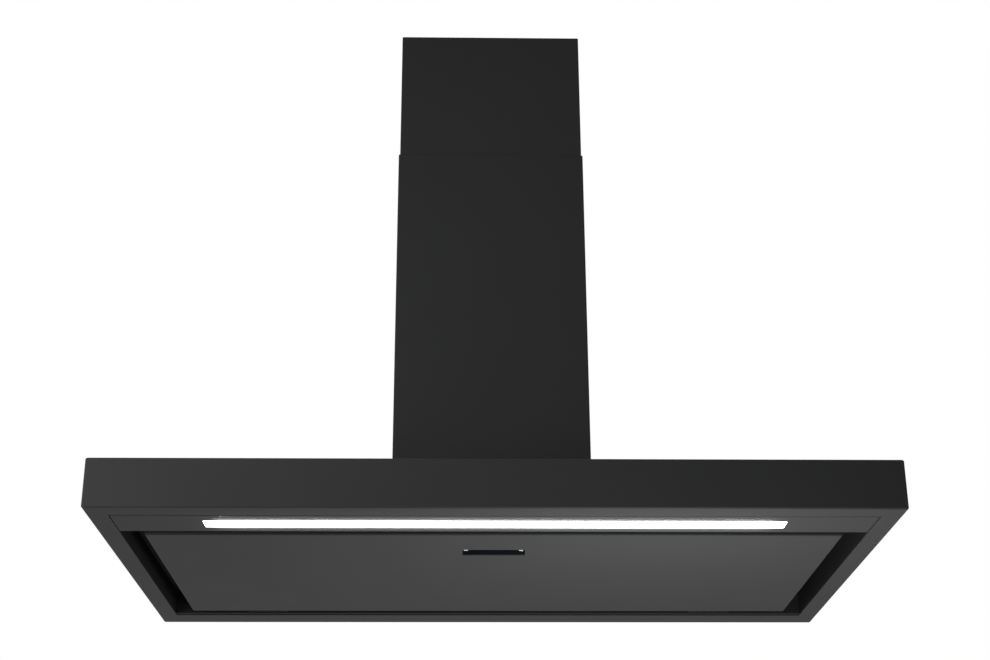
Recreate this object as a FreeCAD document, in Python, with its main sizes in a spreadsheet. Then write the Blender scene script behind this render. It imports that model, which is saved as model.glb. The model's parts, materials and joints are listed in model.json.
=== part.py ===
"""A wall-mounted chimney cooker hood, modelled piece by piece.

Row frame: X runs along the wall, the wall is the plane Y = 0 and the room is at negative Y, Z is up.
The origin is the middle of the canopy's rear bottom edge. All lengths are in millimetres.
"""
import FreeCAD, Part

import math
import os

import Sketcher
from FreeCAD import Placement, Rotation, Vector

doc = FreeCAD.newDocument("ChimneyHood")
sheet = doc.addObject("Spreadsheet::Sheet", "Sizes")
nodes = {}


# --- lengths that follow the sheet --------------------------------------------------------------

class Dim:
    """A length: its formula in the sheet's aliases, and what it comes to now."""

    def __init__(self, formula, value):
        self.formula = formula
        self.value = float(value)

    def __float__(self):
        return self.value

    def __neg__(self):
        return Dim(f"(0 - {self.formula})", -self.value)

    def __add__(self, other):
        other = dim(other)
        return Dim(f"({self.formula} + {other.formula})", self.value + other.value)

    def __sub__(self, other):
        other = dim(other)
        return Dim(f"({self.formula} - {other.formula})", self.value - other.value)

    def __mul__(self, other):
        other = dim(other)
        return Dim(f"({self.formula} * {other.formula})", self.value * other.value)

    def __truediv__(self, other):
        other = dim(other)
        return Dim(f"({self.formula} / {other.formula})", self.value / other.value)

    __radd__ = __add__

    def __rsub__(self, other):
        return dim(other) - self

    __rmul__ = __mul__


def dim(value):
    """The value as a Dim; a plain number becomes a constant."""
    return value if isinstance(value, Dim) else Dim(f"({float(value)})", value)


def size(alias, value):
    """Writes one driving size into the sheet and returns it as a Dim."""
    row = len(SIZES) + 1
    sheet.set(f"A{row}", alias)
    sheet.set(f"B{row}", str(value))
    sheet.setAlias(f"B{row}", alias)
    SIZES.append(alias)
    return Dim(f"Sizes.{alias}", value)


def bind(feature, prop, value):
    """Ties one property of a feature to a length."""
    feature.setExpression(prop, dim(value).formula)


SIZES = []

# --- driving sizes ------------------------------------------------------------------------------

canopy_width = size("canopy_width", 900)
canopy_depth = size("canopy_depth", 550)
canopy_height = size("canopy_height", 57)
canopy_sheet = size("canopy_sheet", 1)
fold_radius = size("fold_radius", 2.2)
side_flange = size("side_flange", 24)
front_flange = size("front_flange", 29.2)
rear_flange = size("rear_flange", 41.5)
rear_lip = size("rear_lip", 9)

light_rail_depth = size("light_rail_depth", 63)
rail_seam = size("rail_seam", 1.2)
deck_height = size("deck_height", 31)
liner_sheet = size("liner_sheet", 0.8)
liner_foot = size("liner_foot", 18)
deck_tab = size("deck_tab", 14)
rail_screw_margin = size("rail_screw_margin", 46)

gap_side = size("gap_side", 26)
gap_front = size("gap_front", 14)
gap_rear = size("gap_rear", 16.5)
panel_sheet = size("panel_sheet", 1.2)
panel_rise = size("panel_rise", 12)
panel_return = size("panel_return", 10)
panel_edge_radius = size("panel_edge_radius", 1.8)

slot_width = size("slot_width", 74)
slot_depth = size("slot_depth", 24.6)
slot_setback = size("slot_setback", 63.5)
cup_wall = size("cup_wall", 1.8)
cup_rise = size("cup_rise", 11)
cup_finger_room = size("cup_finger_room", 12)
clip_reach = size("clip_reach", 33)
clip_width = size("clip_width", 5)
clip_sheet = size("clip_sheet", 0.9)
cup_foot = size("cup_foot", 9)
cup_foot_depth = size("cup_foot_depth", 6)
cup_foot_thickness = size("cup_foot_thickness", 1.5)
cup_rounding = size("cup_rounding", 1.2)

led_length = size("led_length", 652)
led_width = size("led_width", 25)
led_setback = size("led_setback", 20)
led_corner = size("led_corner", 1.5)
lens_clearance = size("lens_clearance", 0.2)
lens_wing = size("lens_wing", 2)
profile_wall = size("profile_wall", 1.4)
profile_rise = size("profile_rise", 13)
board_thickness = size("board_thickness", 1.6)
chip_width = size("chip_width", 5)
chip_height = size("chip_height", 0.8)
chip_count = 26

driver_near = size("driver_near", 110)
driver_length = size("driver_length", 160)
driver_width = size("driver_width", 40)
driver_height = size("driver_height", 22)
driver_foot = size("driver_foot", 12)
control_near = size("control_near", 70)
control_length = size("control_length", 230)
control_wall = size("control_wall", 1.6)
control_lid_thickness = size("control_lid_thickness", 2)
board_clearance = size("board_clearance", 0.5)

filter_margin_x = size("filter_margin_x", 58)
filter_margin_y = size("filter_margin_y", 48)
filter_bar = size("filter_bar", 24)
filter_thickness = size("filter_thickness", 10)
filter_drop = size("filter_drop", 3)
filter_clearance = size("filter_clearance", 1)
filter_skin = size("filter_skin", 0.6)
filter_lip = size("filter_lip", 9)
pleat_pitch = size("pleat_pitch", 16)
handle_width = size("handle_width", 84)
handle_depth = size("handle_depth", 38)
filter_front_room = size("filter_front_room", 2.5)
filter_tab_reach = size("filter_tab_reach", 2.2)
filter_tab_width = size("filter_tab_width", 24)
filter_tab_sheet = size("filter_tab_sheet", 1.2)
mesh_thickness = size("mesh_thickness", 0.9)
handle_skin = size("handle_skin", 1.5)
latch_bolt_width = size("latch_bolt_width", 32)
latch_grip_width = size("latch_grip_width", 44)
latch_thickness = size("latch_thickness", 2)
latch_reach = size("latch_reach", 6)
latch_travel = size("latch_travel", 6.5)

hinge_reach = size("hinge_reach", 300)
hinge_pin_radius = size("hinge_pin_radius", 2.5)
hinge_pin_clearance = size("hinge_pin_clearance", 0.05)
knuckle_radius = size("knuckle_radius", 3.6)
knuckle_length = size("knuckle_length", 30)
hinge_ear = size("hinge_ear", 12)
catch_reach = size("catch_reach", 250)
catch_clearance = size("catch_clearance", 0.3)
catch_width = size("catch_width", 28)
catch_wall = size("catch_wall", 1.5)
catch_shell = size("catch_shell", 3)

chimney_width = size("chimney_width", 254)
chimney_depth = size("chimney_depth", 270)
cover_sheet = size("cover_sheet", 1)
cover_clearance = size("cover_clearance", 0.8)
cover_return = size("cover_return", 12)
cover_fold_radius = size("cover_fold_radius", 2)
lower_cover_height = size("lower_cover_height", 533)
upper_cover_height = size("upper_cover_height", 450)
upper_cover_showing = size("upper_cover_showing", 191)
vent_length = size("vent_length", 120)
vent_height = size("vent_height", 4)
vent_pitch = size("vent_pitch", 12)
vent_setback = size("vent_setback", 52)
vent_count = 6

box_margin = size("box_margin", 13)
box_wall_gap = size("box_wall_gap", 18)
box_sheet = size("box_sheet", 1)
box_height = size("box_height", 300)
box_flange = size("box_flange", 10)
gasket_thickness = size("gasket_thickness", 2)
gasket_width = size("gasket_width", 8)

scroll_clearance = size("scroll_clearance", 9)
scroll_wall = size("scroll_wall", 2)
scroll_half_width = size("scroll_half_width", 58)
scroll_growth = size("scroll_growth", 8)
tongue_radius = size("tongue_radius", 6)
inlet_ring_depth = size("inlet_ring_depth", 3)
impeller_clearance = size("impeller_clearance", 8)
impeller_half_width = size("impeller_half_width", 50)
blade_depth = size("blade_depth", 13)
blade_thickness = size("blade_thickness", 1.2)
blade_count = 30
duct_folds = 6
shaft_radius = size("shaft_radius", 4)
shaft_clearance = size("shaft_clearance", 0.08)
motor_radius = size("motor_radius", 42)
motor_length = size("motor_length", 68)

duct_radius = size("duct_radius", 74.5)
collar_wall = size("collar_wall", 2.2)
collar_height = size("collar_height", 50)
collar_flange = size("collar_flange", 9)
flap_sheet = size("flap_sheet", 1.2)
flap_pin_radius = size("flap_pin_radius", 1.5)
gland_bore = size("gland_bore", 4.2)
gland_radius = size("gland_radius", 8)
gland_length = size("gland_length", 22)

wall_hole_reach = size("wall_hole_reach", 300)
wall_hole_radius = size("wall_hole_radius", 4.25)
wall_hole_height = size("wall_hole_height", 38)
bracket_hole_reach = size("bracket_hole_reach", 80)
bracket_hole_radius = size("bracket_hole_radius", 2.75)
bracket_height = size("bracket_height", 30)
bracket_sheet = size("bracket_sheet", 1.5)
bracket_setback = size("bracket_setback", 22)
bracket_leg = size("bracket_leg", 50)
bracket_jog = size("bracket_jog", 6)
bracket_screw_depth = size("bracket_screw_depth", 32)
screw_radius = size("screw_radius", 2)
screw_head_radius = size("screw_head_radius", 4)
screw_head_height = size("screw_head_height", 2.2)
screw_length = size("screw_length", 5)
screw_clearance = size("screw_clearance", 0.15)
head_sides = 12
shank_sides = 8
seat_clearance = size("seat_clearance", 0.3)

# --- places that several pieces share -----------------------------------------------------------

half_width = canopy_width / 2
rim_x = half_width - side_flange
front_y = -canopy_depth
rail_front = front_y + front_flange + rail_seam
rail_back = rail_front + light_rail_depth
lip_front = -(rear_flange + rear_lip)
panel_x = rim_x - gap_side
panel_front = rail_back + gap_front
panel_back = lip_front - gap_rear
slot_front = panel_front + slot_setback
slot_back = slot_front + slot_depth
led_front = rail_front + led_setback
led_back = led_front + led_width

filter_front = panel_front + filter_margin_y
filter_back = panel_back - filter_margin_y
filter_inner_x = filter_bar / 2
filter_outer_x = panel_x - filter_margin_x
filter_low = deck_height - filter_drop
filter_top = filter_low + filter_thickness

hinge_y = panel_back + 5
hinge_z = panel_rise / 2

cover_x = chimney_width / 2
cover_front = -chimney_depth
cover_top = canopy_height + lower_cover_height
upper_x = cover_x - cover_sheet - cover_clearance
upper_front = cover_front + cover_sheet + cover_clearance
upper_back = -(cover_sheet + cover_clearance)
upper_top = cover_top + upper_cover_showing
upper_bottom = upper_top - upper_cover_height

box_x = upper_x - cover_sheet - box_margin
box_front = upper_front + cover_sheet + box_margin
box_back = -box_wall_gap
box_bottom = canopy_height + gasket_thickness
box_top = box_bottom + box_height

scroll_room = box_back - box_front - 2 * (box_sheet + scroll_clearance + scroll_wall)
volute_radius = (scroll_room - 5 * scroll_growth) / 2
fan_y = box_front + box_sheet + scroll_clearance + scroll_wall + volute_radius + scroll_growth
fan_z = box_bottom + scroll_clearance + scroll_wall + volute_radius + 3 * scroll_growth
scroll_top = fan_z + volute_radius + 2 * tongue_radius
outlet_left = fan_y + volute_radius * 0.58
outlet_right = fan_y + volute_radius + 4 * scroll_growth
impeller_radius = volute_radius - impeller_clearance

collar_y = box_back - duct_radius - collar_flange - 3
flap_pin_z = box_top + 20


# --- Part and PartDesign helpers ----------------------------------------------------------------

def node(feature, label):
    """Names a finished piece, so that it is written to its own file."""
    feature.Label = label
    nodes[label] = feature
    return feature


def place(feature, x, y, z, turn=None):
    """Ties a feature's corner or centre to three lengths, after turning it."""
    if turn is not None:
        feature.Placement = Placement(Vector(), turn)
    for axis, value in zip("xyz", (x, y, z)):
        bind(feature, f"Placement.Base.{axis}", value)
    return feature


def block(name, x, y, z):
    """A Part box between two lengths on each axis."""
    box = doc.addObject("Part::Box", name)
    for prop, span in zip(("Length", "Width", "Height"), (x, y, z)):
        bind(box, prop, dim(span[1]) - span[0])
    return place(box, x[0], y[0], z[0])


TURNS = {"X": Rotation(Vector(0, 1, 0), 90), "Y": Rotation(Vector(1, 0, 0), -90), "Z": Rotation()}


def rod(name, radius, start, length, axis="Z"):
    """A Part cylinder from start along a positive row axis."""
    cylinder = doc.addObject("Part::Cylinder", name)
    bind(cylinder, "Radius", radius)
    bind(cylinder, "Height", length)
    return place(cylinder, *start, turn=TURNS[axis])


def prism(name, sides, radius, start, length, axis="Z"):
    """A Part prism whose corners lie on a radius, from start along a positive row axis."""
    bar = doc.addObject("Part::Prism", name)
    bar.Polygon = sides
    bind(bar, "Circumradius", radius)
    bind(bar, "Height", length)
    return place(bar, *start, turn=TURNS[axis])


def fused(name, pieces):
    """One solid from several that touch or overlap."""
    fuse = doc.addObject("Part::MultiFuse", name)
    fuse.Shapes = pieces
    fuse.Refine = True
    return fuse


def group(name, pieces):
    """Several separate solids that share one node."""
    compound = doc.addObject("Part::Compound", name)
    compound.Links = pieces
    return compound


def cut(name, base, tools):
    """The base less the tools."""
    result = doc.addObject("Part::Cut", name)
    result.Base = base
    result.Tool = tools[0] if len(tools) == 1 else group(name + "_tools", tools)
    return result


def mirrored(name, source, normal=Vector(1, 0, 0)):
    """The source mirrored in a plane through the origin."""
    mirror = doc.addObject("Part::Mirroring", name)
    mirror.Source = source
    mirror.Normal = normal
    return mirror


def pair(label, right):
    """A node of two equal solids, the given one and its mirror image across the middle."""
    return node(group(label, [right, mirrored(label + "_left", right)]), label)


def screw(name, head_face, axis="Z", way=1, length=screw_length):
    """A screw whose head sits on the point head_face; its shank runs against way * axis.

    The round head and shank are kept to few flat sides, because the screw is repeated so often.
    """
    index = "XYZ".index(axis)
    head, shank = list(head_face), list(head_face)
    if way < 0:
        head[index] = head[index] - screw_head_height
    else:
        shank[index] = shank[index] - length
    return fused(name, [
        prism(name + "_head", head_sides, screw_head_radius, head, screw_head_height, axis),
        prism(name + "_shank", shank_sides, screw_radius, shank, length, axis),
    ])


def body(label):
    """An empty body of its own for one piece."""
    return node(doc.addObject("PartDesign::Body", label), label)


def sketch_on(owner, plane, offset=0):
    """A sketch parallel to one of the body's origin planes, offset along that plane's normal.

    XY sketches have X and Y axes and face +Z; XZ sketches have X and Z and face -Y; YZ sketches have
    Y and Z and face +X.
    """
    sketch = owner.newObject("Sketcher::SketchObject", f"{owner.Name}_sketch")
    support = next(f for f in owner.Origin.OriginFeatures if f.Role == f"{plane}_Plane")
    sketch.AttachmentSupport = (support, "")
    sketch.MapMode = "FlatFace"
    bind(sketch, "AttachmentOffset.Base.z", offset)
    return sketch


def tie_point(sketch, geometry, point, x, y):
    """Holds one sketch point at two lengths from the sketch's origin."""
    for kind, value in (("DistanceX", x), ("DistanceY", y)):
        rule = Sketcher.Constraint(kind, -1, 1, geometry, point, float(value))
        bind(sketch, f"Constraints[{sketch.addConstraint(rule)}]", value)


def polygon(sketch, corners):
    """Adds a closed outline of straight edges through the corners."""
    points = [Vector(float(x), float(y), 0) for x, y in corners]
    count = len(points)
    first = sketch.GeometryCount
    for i in range(count):
        sketch.addGeometry(Part.LineSegment(points[i], points[(i + 1) % count]), False)
    for i in range(count):
        following = first + (i + 1) % count
        sketch.addConstraint(Sketcher.Constraint("Coincident", first + i, 2, following, 1))
    for i, (x, y) in enumerate(corners):
        tie_point(sketch, first + i, 1, dim(x), dim(y))


def rectangle(sketch, x, y):
    """Adds a rectangle between two lengths on each sketch axis."""
    polygon(sketch, [(x[0], y[0]), (x[1], y[0]), (x[1], y[1]), (x[0], y[1])])


def circle(sketch, x, y, radius):
    """Adds a circle about a point."""
    x, y, radius = dim(x), dim(y), dim(radius)
    centre = Vector(float(x), float(y), 0)
    index = sketch.addGeometry(Part.Circle(centre, Vector(0, 0, 1), float(radius)), False)
    tie_point(sketch, index, 3, x, y)
    rule = Sketcher.Constraint("Radius", index, float(radius))
    bind(sketch, f"Constraints[{sketch.addConstraint(rule)}]", radius)


def pad(owner, sketch, length):
    """Adds material from the sketch along its plane's normal."""
    feature = owner.newObject("PartDesign::Pad", f"{owner.Name}_pad")
    feature.Profile = sketch
    bind(feature, "Length", length)
    return feature


def pocket(owner, sketch, length):
    """Removes material from the sketch along its plane's normal."""
    feature = owner.newObject("PartDesign::Pocket", f"{owner.Name}_pocket")
    feature.Profile = sketch
    feature.Reversed = True
    bind(feature, "Length", length)
    return feature


def pocket_rectangles(owner, plane, offset, length, rectangles):
    """Cuts several rectangular holes from one plane."""
    sketch = sketch_on(owner, plane, offset)
    for x, y in rectangles:
        rectangle(sketch, x, y)
    return pocket(owner, sketch, length)


def pocket_circles(owner, plane, offset, length, circles):
    """Cuts several round holes from one plane."""
    sketch = sketch_on(owner, plane, offset)
    for x, y, radius in circles:
        circle(sketch, x, y, radius)
    return pocket(owner, sketch, length)


def fillet(owner, radius, test):
    """Rounds the edges of the body so far whose middle point and direction pass the test."""
    doc.recompute()
    base = owner.Tip
    names = []
    for i, edge in enumerate(base.Shape.Edges):
        middle = edge.valueAt((edge.FirstParameter + edge.LastParameter) / 2)
        along = edge.tangentAt(edge.FirstParameter)
        if test(middle, along, edge):
            names.append(f"Edge{i + 1}")
    feature = owner.newObject("PartDesign::Fillet", f"{owner.Name}_fillet")
    feature.Base = (base, names)
    bind(feature, "Radius", radius)
    return feature


def folded(path, thickness, side=1):
    """A folded sheet's closed outline: a square-cornered path and its offset, to the left if side is 1."""
    normals = []
    for (x0, y0), (x1, y1) in zip(path, path[1:]):
        dx = float(dim(x1) - x0)
        dy = float(dim(y1) - y0)
        run = math.hypot(dx, dy)
        normals.append((-round(dy / run) * side, round(dx / run) * side))
    back = []
    for i, (x, y) in enumerate(path):
        near = normals[max(i - 1, 0):i + 1]
        shift_x = max((n[0] for n in near), key=abs)
        shift_y = max((n[1] for n in near), key=abs)
        back.append((dim(x) + thickness * shift_x, dim(y) + thickness * shift_y))
    return list(path) + back[::-1]


def close_to(a, b):
    """True if two lengths agree."""
    return abs(float(a) - float(b)) < 0.01


# --- canopy -------------------------------------------------------------------------------------

# Screw places on the canopy's top, X and Y, for the blower box flanges and the lower cover's feet.
box_screw_x = box_x - 25
box_screws = [(sign * box_screw_x, y) for sign in (-1, 1)
              for y in (box_front - box_flange / 2, box_back + box_flange / 2)]
foot_width = cover_return
foot_screw_x = cover_x - cover_sheet - foot_width / 2
foot_screws = [(sign * foot_screw_x, y) for sign in (-1, 1) for y in (cover_front * 0.7, cover_front * 0.3)]
screw_hole = screw_radius + screw_clearance


def make_canopy_shell():
    """The folded and welded outer box: front, sides, top, rear wall and the rim turned in below."""
    shell = body("canopy_shell")
    outer = sketch_on(shell, "XY")
    rectangle(outer, (-half_width, half_width), (front_y, 0))
    pad(shell, outer, canopy_height)
    inside_x = half_width - canopy_sheet
    inside_y = (front_y + canopy_sheet, -canopy_sheet)
    pocket_rectangles(shell, "XY", 0, canopy_height - canopy_sheet, [((-inside_x, inside_x), inside_y)])
    rim = sketch_on(shell, "XY")
    rectangle(rim, (-half_width, half_width), (front_y, 0))
    rectangle(rim, (-rim_x, rim_x), (front_y + front_flange, -rear_flange))
    pad(shell, rim, canopy_sheet)

    def outer_fold(middle, along, edge):
        on_side = close_to(abs(middle.x), half_width)
        on_front = close_to(middle.y, front_y)
        on_top_or_bottom = close_to(middle.z, canopy_height) or close_to(middle.z, 0)
        return (on_side and on_front) or ((on_side or on_front) and on_top_or_bottom)

    fillet(shell, fold_radius, outer_fold)
    intake_x = box_x - gasket_width
    intake_y = (box_front + gasket_width, box_back - gasket_width)
    through = canopy_sheet * 3
    above = canopy_height - canopy_sheet * 2
    pocket_rectangles(shell, "XY", above, through, [((-intake_x, intake_x), intake_y)])
    pocket_circles(shell, "XY", above, through, [(x, y, screw_hole) for x, y in box_screws + foot_screws])
    pocket_circles(shell, "XZ", -canopy_sheet, through,
                   [(s * wall_hole_reach, wall_hole_height, wall_hole_radius) for s in (-1, 1)])


def make_inner_liner():
    """The hat-shaped inner pan: feet on the rim, side walls of the suction gaps and the filter deck."""
    liner = body("inner_liner")
    foot = rim_x + liner_foot
    path = [(-foot, canopy_sheet), (-rim_x, canopy_sheet), (-rim_x, deck_height),
            (rim_x, deck_height), (rim_x, canopy_sheet), (foot, canopy_sheet)]
    start = lip_front + deck_tab
    profile = sketch_on(liner, "XZ", -start)
    polygon(profile, folded(path, liner_sheet))
    pad(liner, profile, start - rail_back + deck_tab)
    openings = []
    for low, high in filter_spans():
        openings.append(((low - filter_clearance, high + filter_clearance),
                         (filter_front - filter_front_room, filter_back + filter_clearance)))
    pocket_rectangles(liner, "XY", deck_height - 1, liner_sheet + 2, openings)
    pocket_circles(liner, "XY", deck_height - 1, liner_sheet + 2,
                   [(x, y, screw_hole) for x, y in rail_screw_places()])


def filter_spans():
    """The X spans of the left and right filters."""
    return [(-filter_outer_x, -filter_inner_x), (filter_inner_x, filter_outer_x)]


def rail_screw_places():
    """Where the deck is screwed down to the light rail and the hinge rail."""
    reach = rim_x - rail_screw_margin
    places = []
    for y in (rail_back - deck_tab / 2, lip_front + deck_tab / 2):
        for share in (-1, -1 / 3, 1 / 3, 1):
            places.append((reach * share, y))
    return places


def make_hinge_rail():
    """The Z-shaped rail along the back: a lip on the rear rim, the rear wall of the gap, a top flange."""
    rail = body("hinge_rail")
    end_x = rim_x - seat_clearance
    path = [(-deck_tab, canopy_sheet), (lip_front, canopy_sheet), (lip_front, deck_height),
            (lip_front + deck_tab, deck_height)]
    profile = sketch_on(rail, "YZ", -end_x)
    polygon(profile, folded(path, canopy_sheet, -1))
    pad(rail, profile, 2 * end_x)
    pocket_circles(rail, "XY", deck_height - 3, 4,
                   [(x, y, screw_hole) for x, y in rail_screw_places() if float(y) > float(panel_back)])


def make_light_rail():
    """The channel across the front that carries the light; its bottom is flush with the rim."""
    rail = body("light_rail")
    end_x = rim_x - rail_seam
    front_leg = deck_height * 0.8
    path = [(rail_front, front_leg), (rail_front, 0), (rail_back, 0), (rail_back, deck_height),
            (rail_back - deck_tab, deck_height)]
    profile = sketch_on(rail, "YZ", -end_x)
    polygon(profile, folded(path, canopy_sheet))
    pad(rail, profile, 2 * end_x)
    pocket_rectangles(rail, "XY", -1, canopy_sheet + 2,
                      [((-led_length / 2, led_length / 2), (led_front, led_back))])

    def slot_corner(middle, along, edge):
        at_end = close_to(abs(middle.x), led_length / 2)
        return at_end and abs(along.z) > 0.99 and edge.Length < 2 * float(canopy_sheet)

    fillet(rail, led_corner, slot_corner)
    pocket_circles(rail, "XY", deck_height - 3, 4,
                   [(x, y, screw_hole) for x, y in rail_screw_places() if float(y) < float(panel_front)])


def make_rail_screws():
    """Screws that hold the deck to both rails, heads on top of the deck."""
    screws = []
    for i, (x, y) in enumerate(rail_screw_places()):
        screws.append(screw(f"rail_screw_{i}", (x, y, deck_height + liner_sheet)))
    node(group("deck_screws", screws), "deck_screws")


# --- light --------------------------------------------------------------------------------------

def make_light():
    """Aluminium profile, light-emitting board, its chips and the opal lens bar."""
    seat = profile_wall + lens_clearance + lens_wing
    low_y = led_front - seat
    high_y = led_back + seat
    end_x = led_length / 2 + 6
    top = canopy_sheet + profile_rise
    profile = body("led_profile")
    outline = sketch_on(profile, "YZ", -end_x)
    polygon(outline, folded([(low_y, canopy_sheet), (low_y, top), (high_y, top), (high_y, canopy_sheet)],
                            profile_wall, -1))
    pad(profile, outline, 2 * end_x)

    lens = body("led_diffuser")
    lens_x = led_length / 2 - lens_clearance
    lens_y = (led_front + lens_clearance, led_back - lens_clearance)
    outline = sketch_on(lens, "XY")
    rectangle(outline, (-lens_x, lens_x), lens_y)
    pad(lens, outline, canopy_sheet + lens_wing)

    def lens_corner(middle, along, edge):
        return abs(along.z) > 0.99

    fillet(lens, led_corner - lens_clearance, lens_corner)
    wings = sketch_on(lens, "XY", canopy_sheet)
    rectangle(wings, (-lens_x, lens_x), (lens_y[0] - lens_wing, lens_y[1] + lens_wing))
    pad(lens, wings, lens_wing)

    middle = (led_front + led_back) / 2
    board_top = top - profile_wall
    board_low = board_top - board_thickness
    board_half = led_width / 2 - lens_wing
    board = block("board", (-lens_x, lens_x), (middle - board_half, middle + board_half),
                  (board_low, board_top))
    node(board, "led_board")
    half_chip = chip_width / 2
    chips = []
    for i in range(chip_count):
        x = lens_x * ((2 * i + 1) / chip_count - 1)
        chips.append(block(f"chip_{i}", (x - half_chip, x + half_chip),
                           (middle - half_chip, middle + half_chip), (board_low - chip_height, board_low)))
    node(group("led_chips", chips), "led_chips")


def make_driver():
    """The constant-current driver under the canopy's top, with a foot at each end."""
    top = canopy_height - canopy_sheet
    middle = (rail_front + rail_back) / 2
    low_x, high_x = -(driver_near + driver_length), -driver_near
    half = driver_width / 2
    foot_half = half * 0.7
    case = block("driver_case", (low_x, high_x), (middle - half, middle + half), (top - driver_height, top))
    feet = block("driver_feet", (low_x - driver_foot, high_x + driver_foot),
                 (middle - foot_half, middle + foot_half), (top - 2, top))
    node(fused("led_driver", [case, feet]), "led_driver")


# --- control box --------------------------------------------------------------------------------

control_x = (control_near, control_near + control_length)
control_y = (rail_front + 5, rail_back - deck_tab - 3)
control_top = canopy_height - canopy_sheet
control_low = deck_height + liner_sheet + control_lid_thickness + board_clearance
board_z = control_top - 6


def make_control_box():
    """The moulded box for the switching parts, its lid, and the four posts that carry the board."""
    box = body("control_box")
    outer = sketch_on(box, "XY", control_low)
    rectangle(outer, control_x, control_y)
    pad(box, outer, control_top - control_low)
    inner_x = (control_x[0] + control_wall, control_x[1] - control_wall)
    inner_y = (control_y[0] + control_wall, control_y[1] - control_wall)
    pocket_rectangles(box, "XY", control_low, control_top - control_wall - control_low,
                      [(inner_x, inner_y)])
    posts = sketch_on(box, "XY", board_z)
    for x in (inner_x[0] + 4, inner_x[1] - 4):
        for y in (inner_y[0] + 4, inner_y[1] - 4):
            rectangle(posts, (x - 2, x + 2), (y - 2, y + 2))
    pad(box, posts, control_top - control_wall - board_z + board_clearance)

    lid = body("control_lid")
    plate = sketch_on(lid, "XY", control_low - control_lid_thickness)
    rectangle(plate, control_x, control_y)
    pad(lid, plate, control_lid_thickness)
    spigot = sketch_on(lid, "XY", control_low)
    for inset in (seat_clearance, seat_clearance + control_wall):
        rectangle(spigot, (inner_x[0] + inset, inner_x[1] - inset),
                  (inner_y[0] + inset, inner_y[1] - inset))
    pad(lid, spigot, control_lid_thickness)


def make_control_parts():
    """The board and what is soldered under it."""
    edge = control_wall + board_clearance
    low_y = control_y[0] + edge
    high_y = control_y[1] - edge
    low_x = control_x[0] + edge
    high_x = control_x[1] - edge
    under = board_z - board_thickness
    node(block("board_plate", (low_x, high_x), (low_y, high_y), (under, board_z)), "control_board")
    core = block("core", (low_x + 14, low_x + 50), (low_y + 4, high_y - 4), (under - 9, under))
    winding = block("winding", (low_x + 20, low_x + 44), (low_y + 1, high_y - 1), (under - 11, under - 1))
    node(fused("transformer", [core, winding]), "transformer")
    relays = []
    for i in range(3):
        x = low_x + 66 + 20 * i
        relays.append(block(f"relay_{i}", (x, x + 15), (low_y + 6, low_y + 24), (under - 11, under)))
    node(group("relays", relays), "relays")
    node(rod("capacitor", 5.5, (low_x + 130, low_y + 14, under - 5.5), 36, "X"), "run_capacitor")
    block_x = high_x - 46
    terminals = block("terminals", (block_x, high_x - 6), (high_y - 15, high_y - 2), (under - 10, under))
    ways = []
    for i in range(5):
        x = block_x + 3.4 + 7.5 * i
        ways.append(block(f"way_{i}", (x, x + 3.2), (high_y - 9.6, high_y - 6.4), (under - 11, under - 4)))
    node(cut("terminal_block", terminals, ways), "terminal_block")


# --- grease filters -----------------------------------------------------------------------------

def make_filter_seats():
    """The stepped frames on the deck that stop each filter from above."""
    seats = body("filter_seats")
    wall = sketch_on(seats, "XY", deck_height + liner_sheet)
    ledge = sketch_on(seats, "XY", filter_top)
    near = filter_clearance
    far = filter_clearance + liner_sheet
    wall_front = filter_front - filter_front_room
    for low, high in filter_spans():
        outer = ((low - far, high + far), (wall_front - liner_sheet, filter_back + far))
        rectangle(wall, *outer)
        rectangle(wall, (low - near, high + near), (wall_front, filter_back + near))
        rectangle(ledge, *outer)
        rectangle(ledge, (low + filter_lip, high - filter_lip),
                  (filter_front + filter_lip, filter_back - filter_lip))
    pad(seats, wall, filter_top - deck_height - liner_sheet)
    pad(seats, ledge, liner_sheet)
    window = (deck_height, bolt_high + 1)
    bolt_room = bolt_half_width + 3
    front = [((filter_mid(span) - bolt_room, filter_mid(span) + bolt_room), window)
             for span in filter_spans()]
    pocket_rectangles(seats, "XZ", -filter_front, filter_front_room + liner_sheet + 1, front)
    rear = [((tab[0] - near, tab[1] + near), window)
            for span in filter_spans() for tab in tab_spans(span)]
    pocket_rectangles(seats, "XZ", -(filter_back + far + 1), liner_sheet + 2, rear)


def filter_mid(span):
    """The middle of a span."""
    return (span[0] + span[1]) / 2


def tab_spans(span):
    """The X spans of the two tabs at the back of the filter in this span."""
    middle = filter_mid(span)
    return [(middle + sign * tab_place - tab_half_width, middle + sign * tab_place + tab_half_width)
            for sign in (-1, 1)]


tab_place = (filter_outer_x - filter_inner_x) * 0.3
tab_half_width = filter_tab_width / 2
bolt_half_width = latch_bolt_width / 2
bolt_low = deck_height + liner_sheet + seat_clearance
bolt_high = bolt_low + latch_thickness


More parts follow.
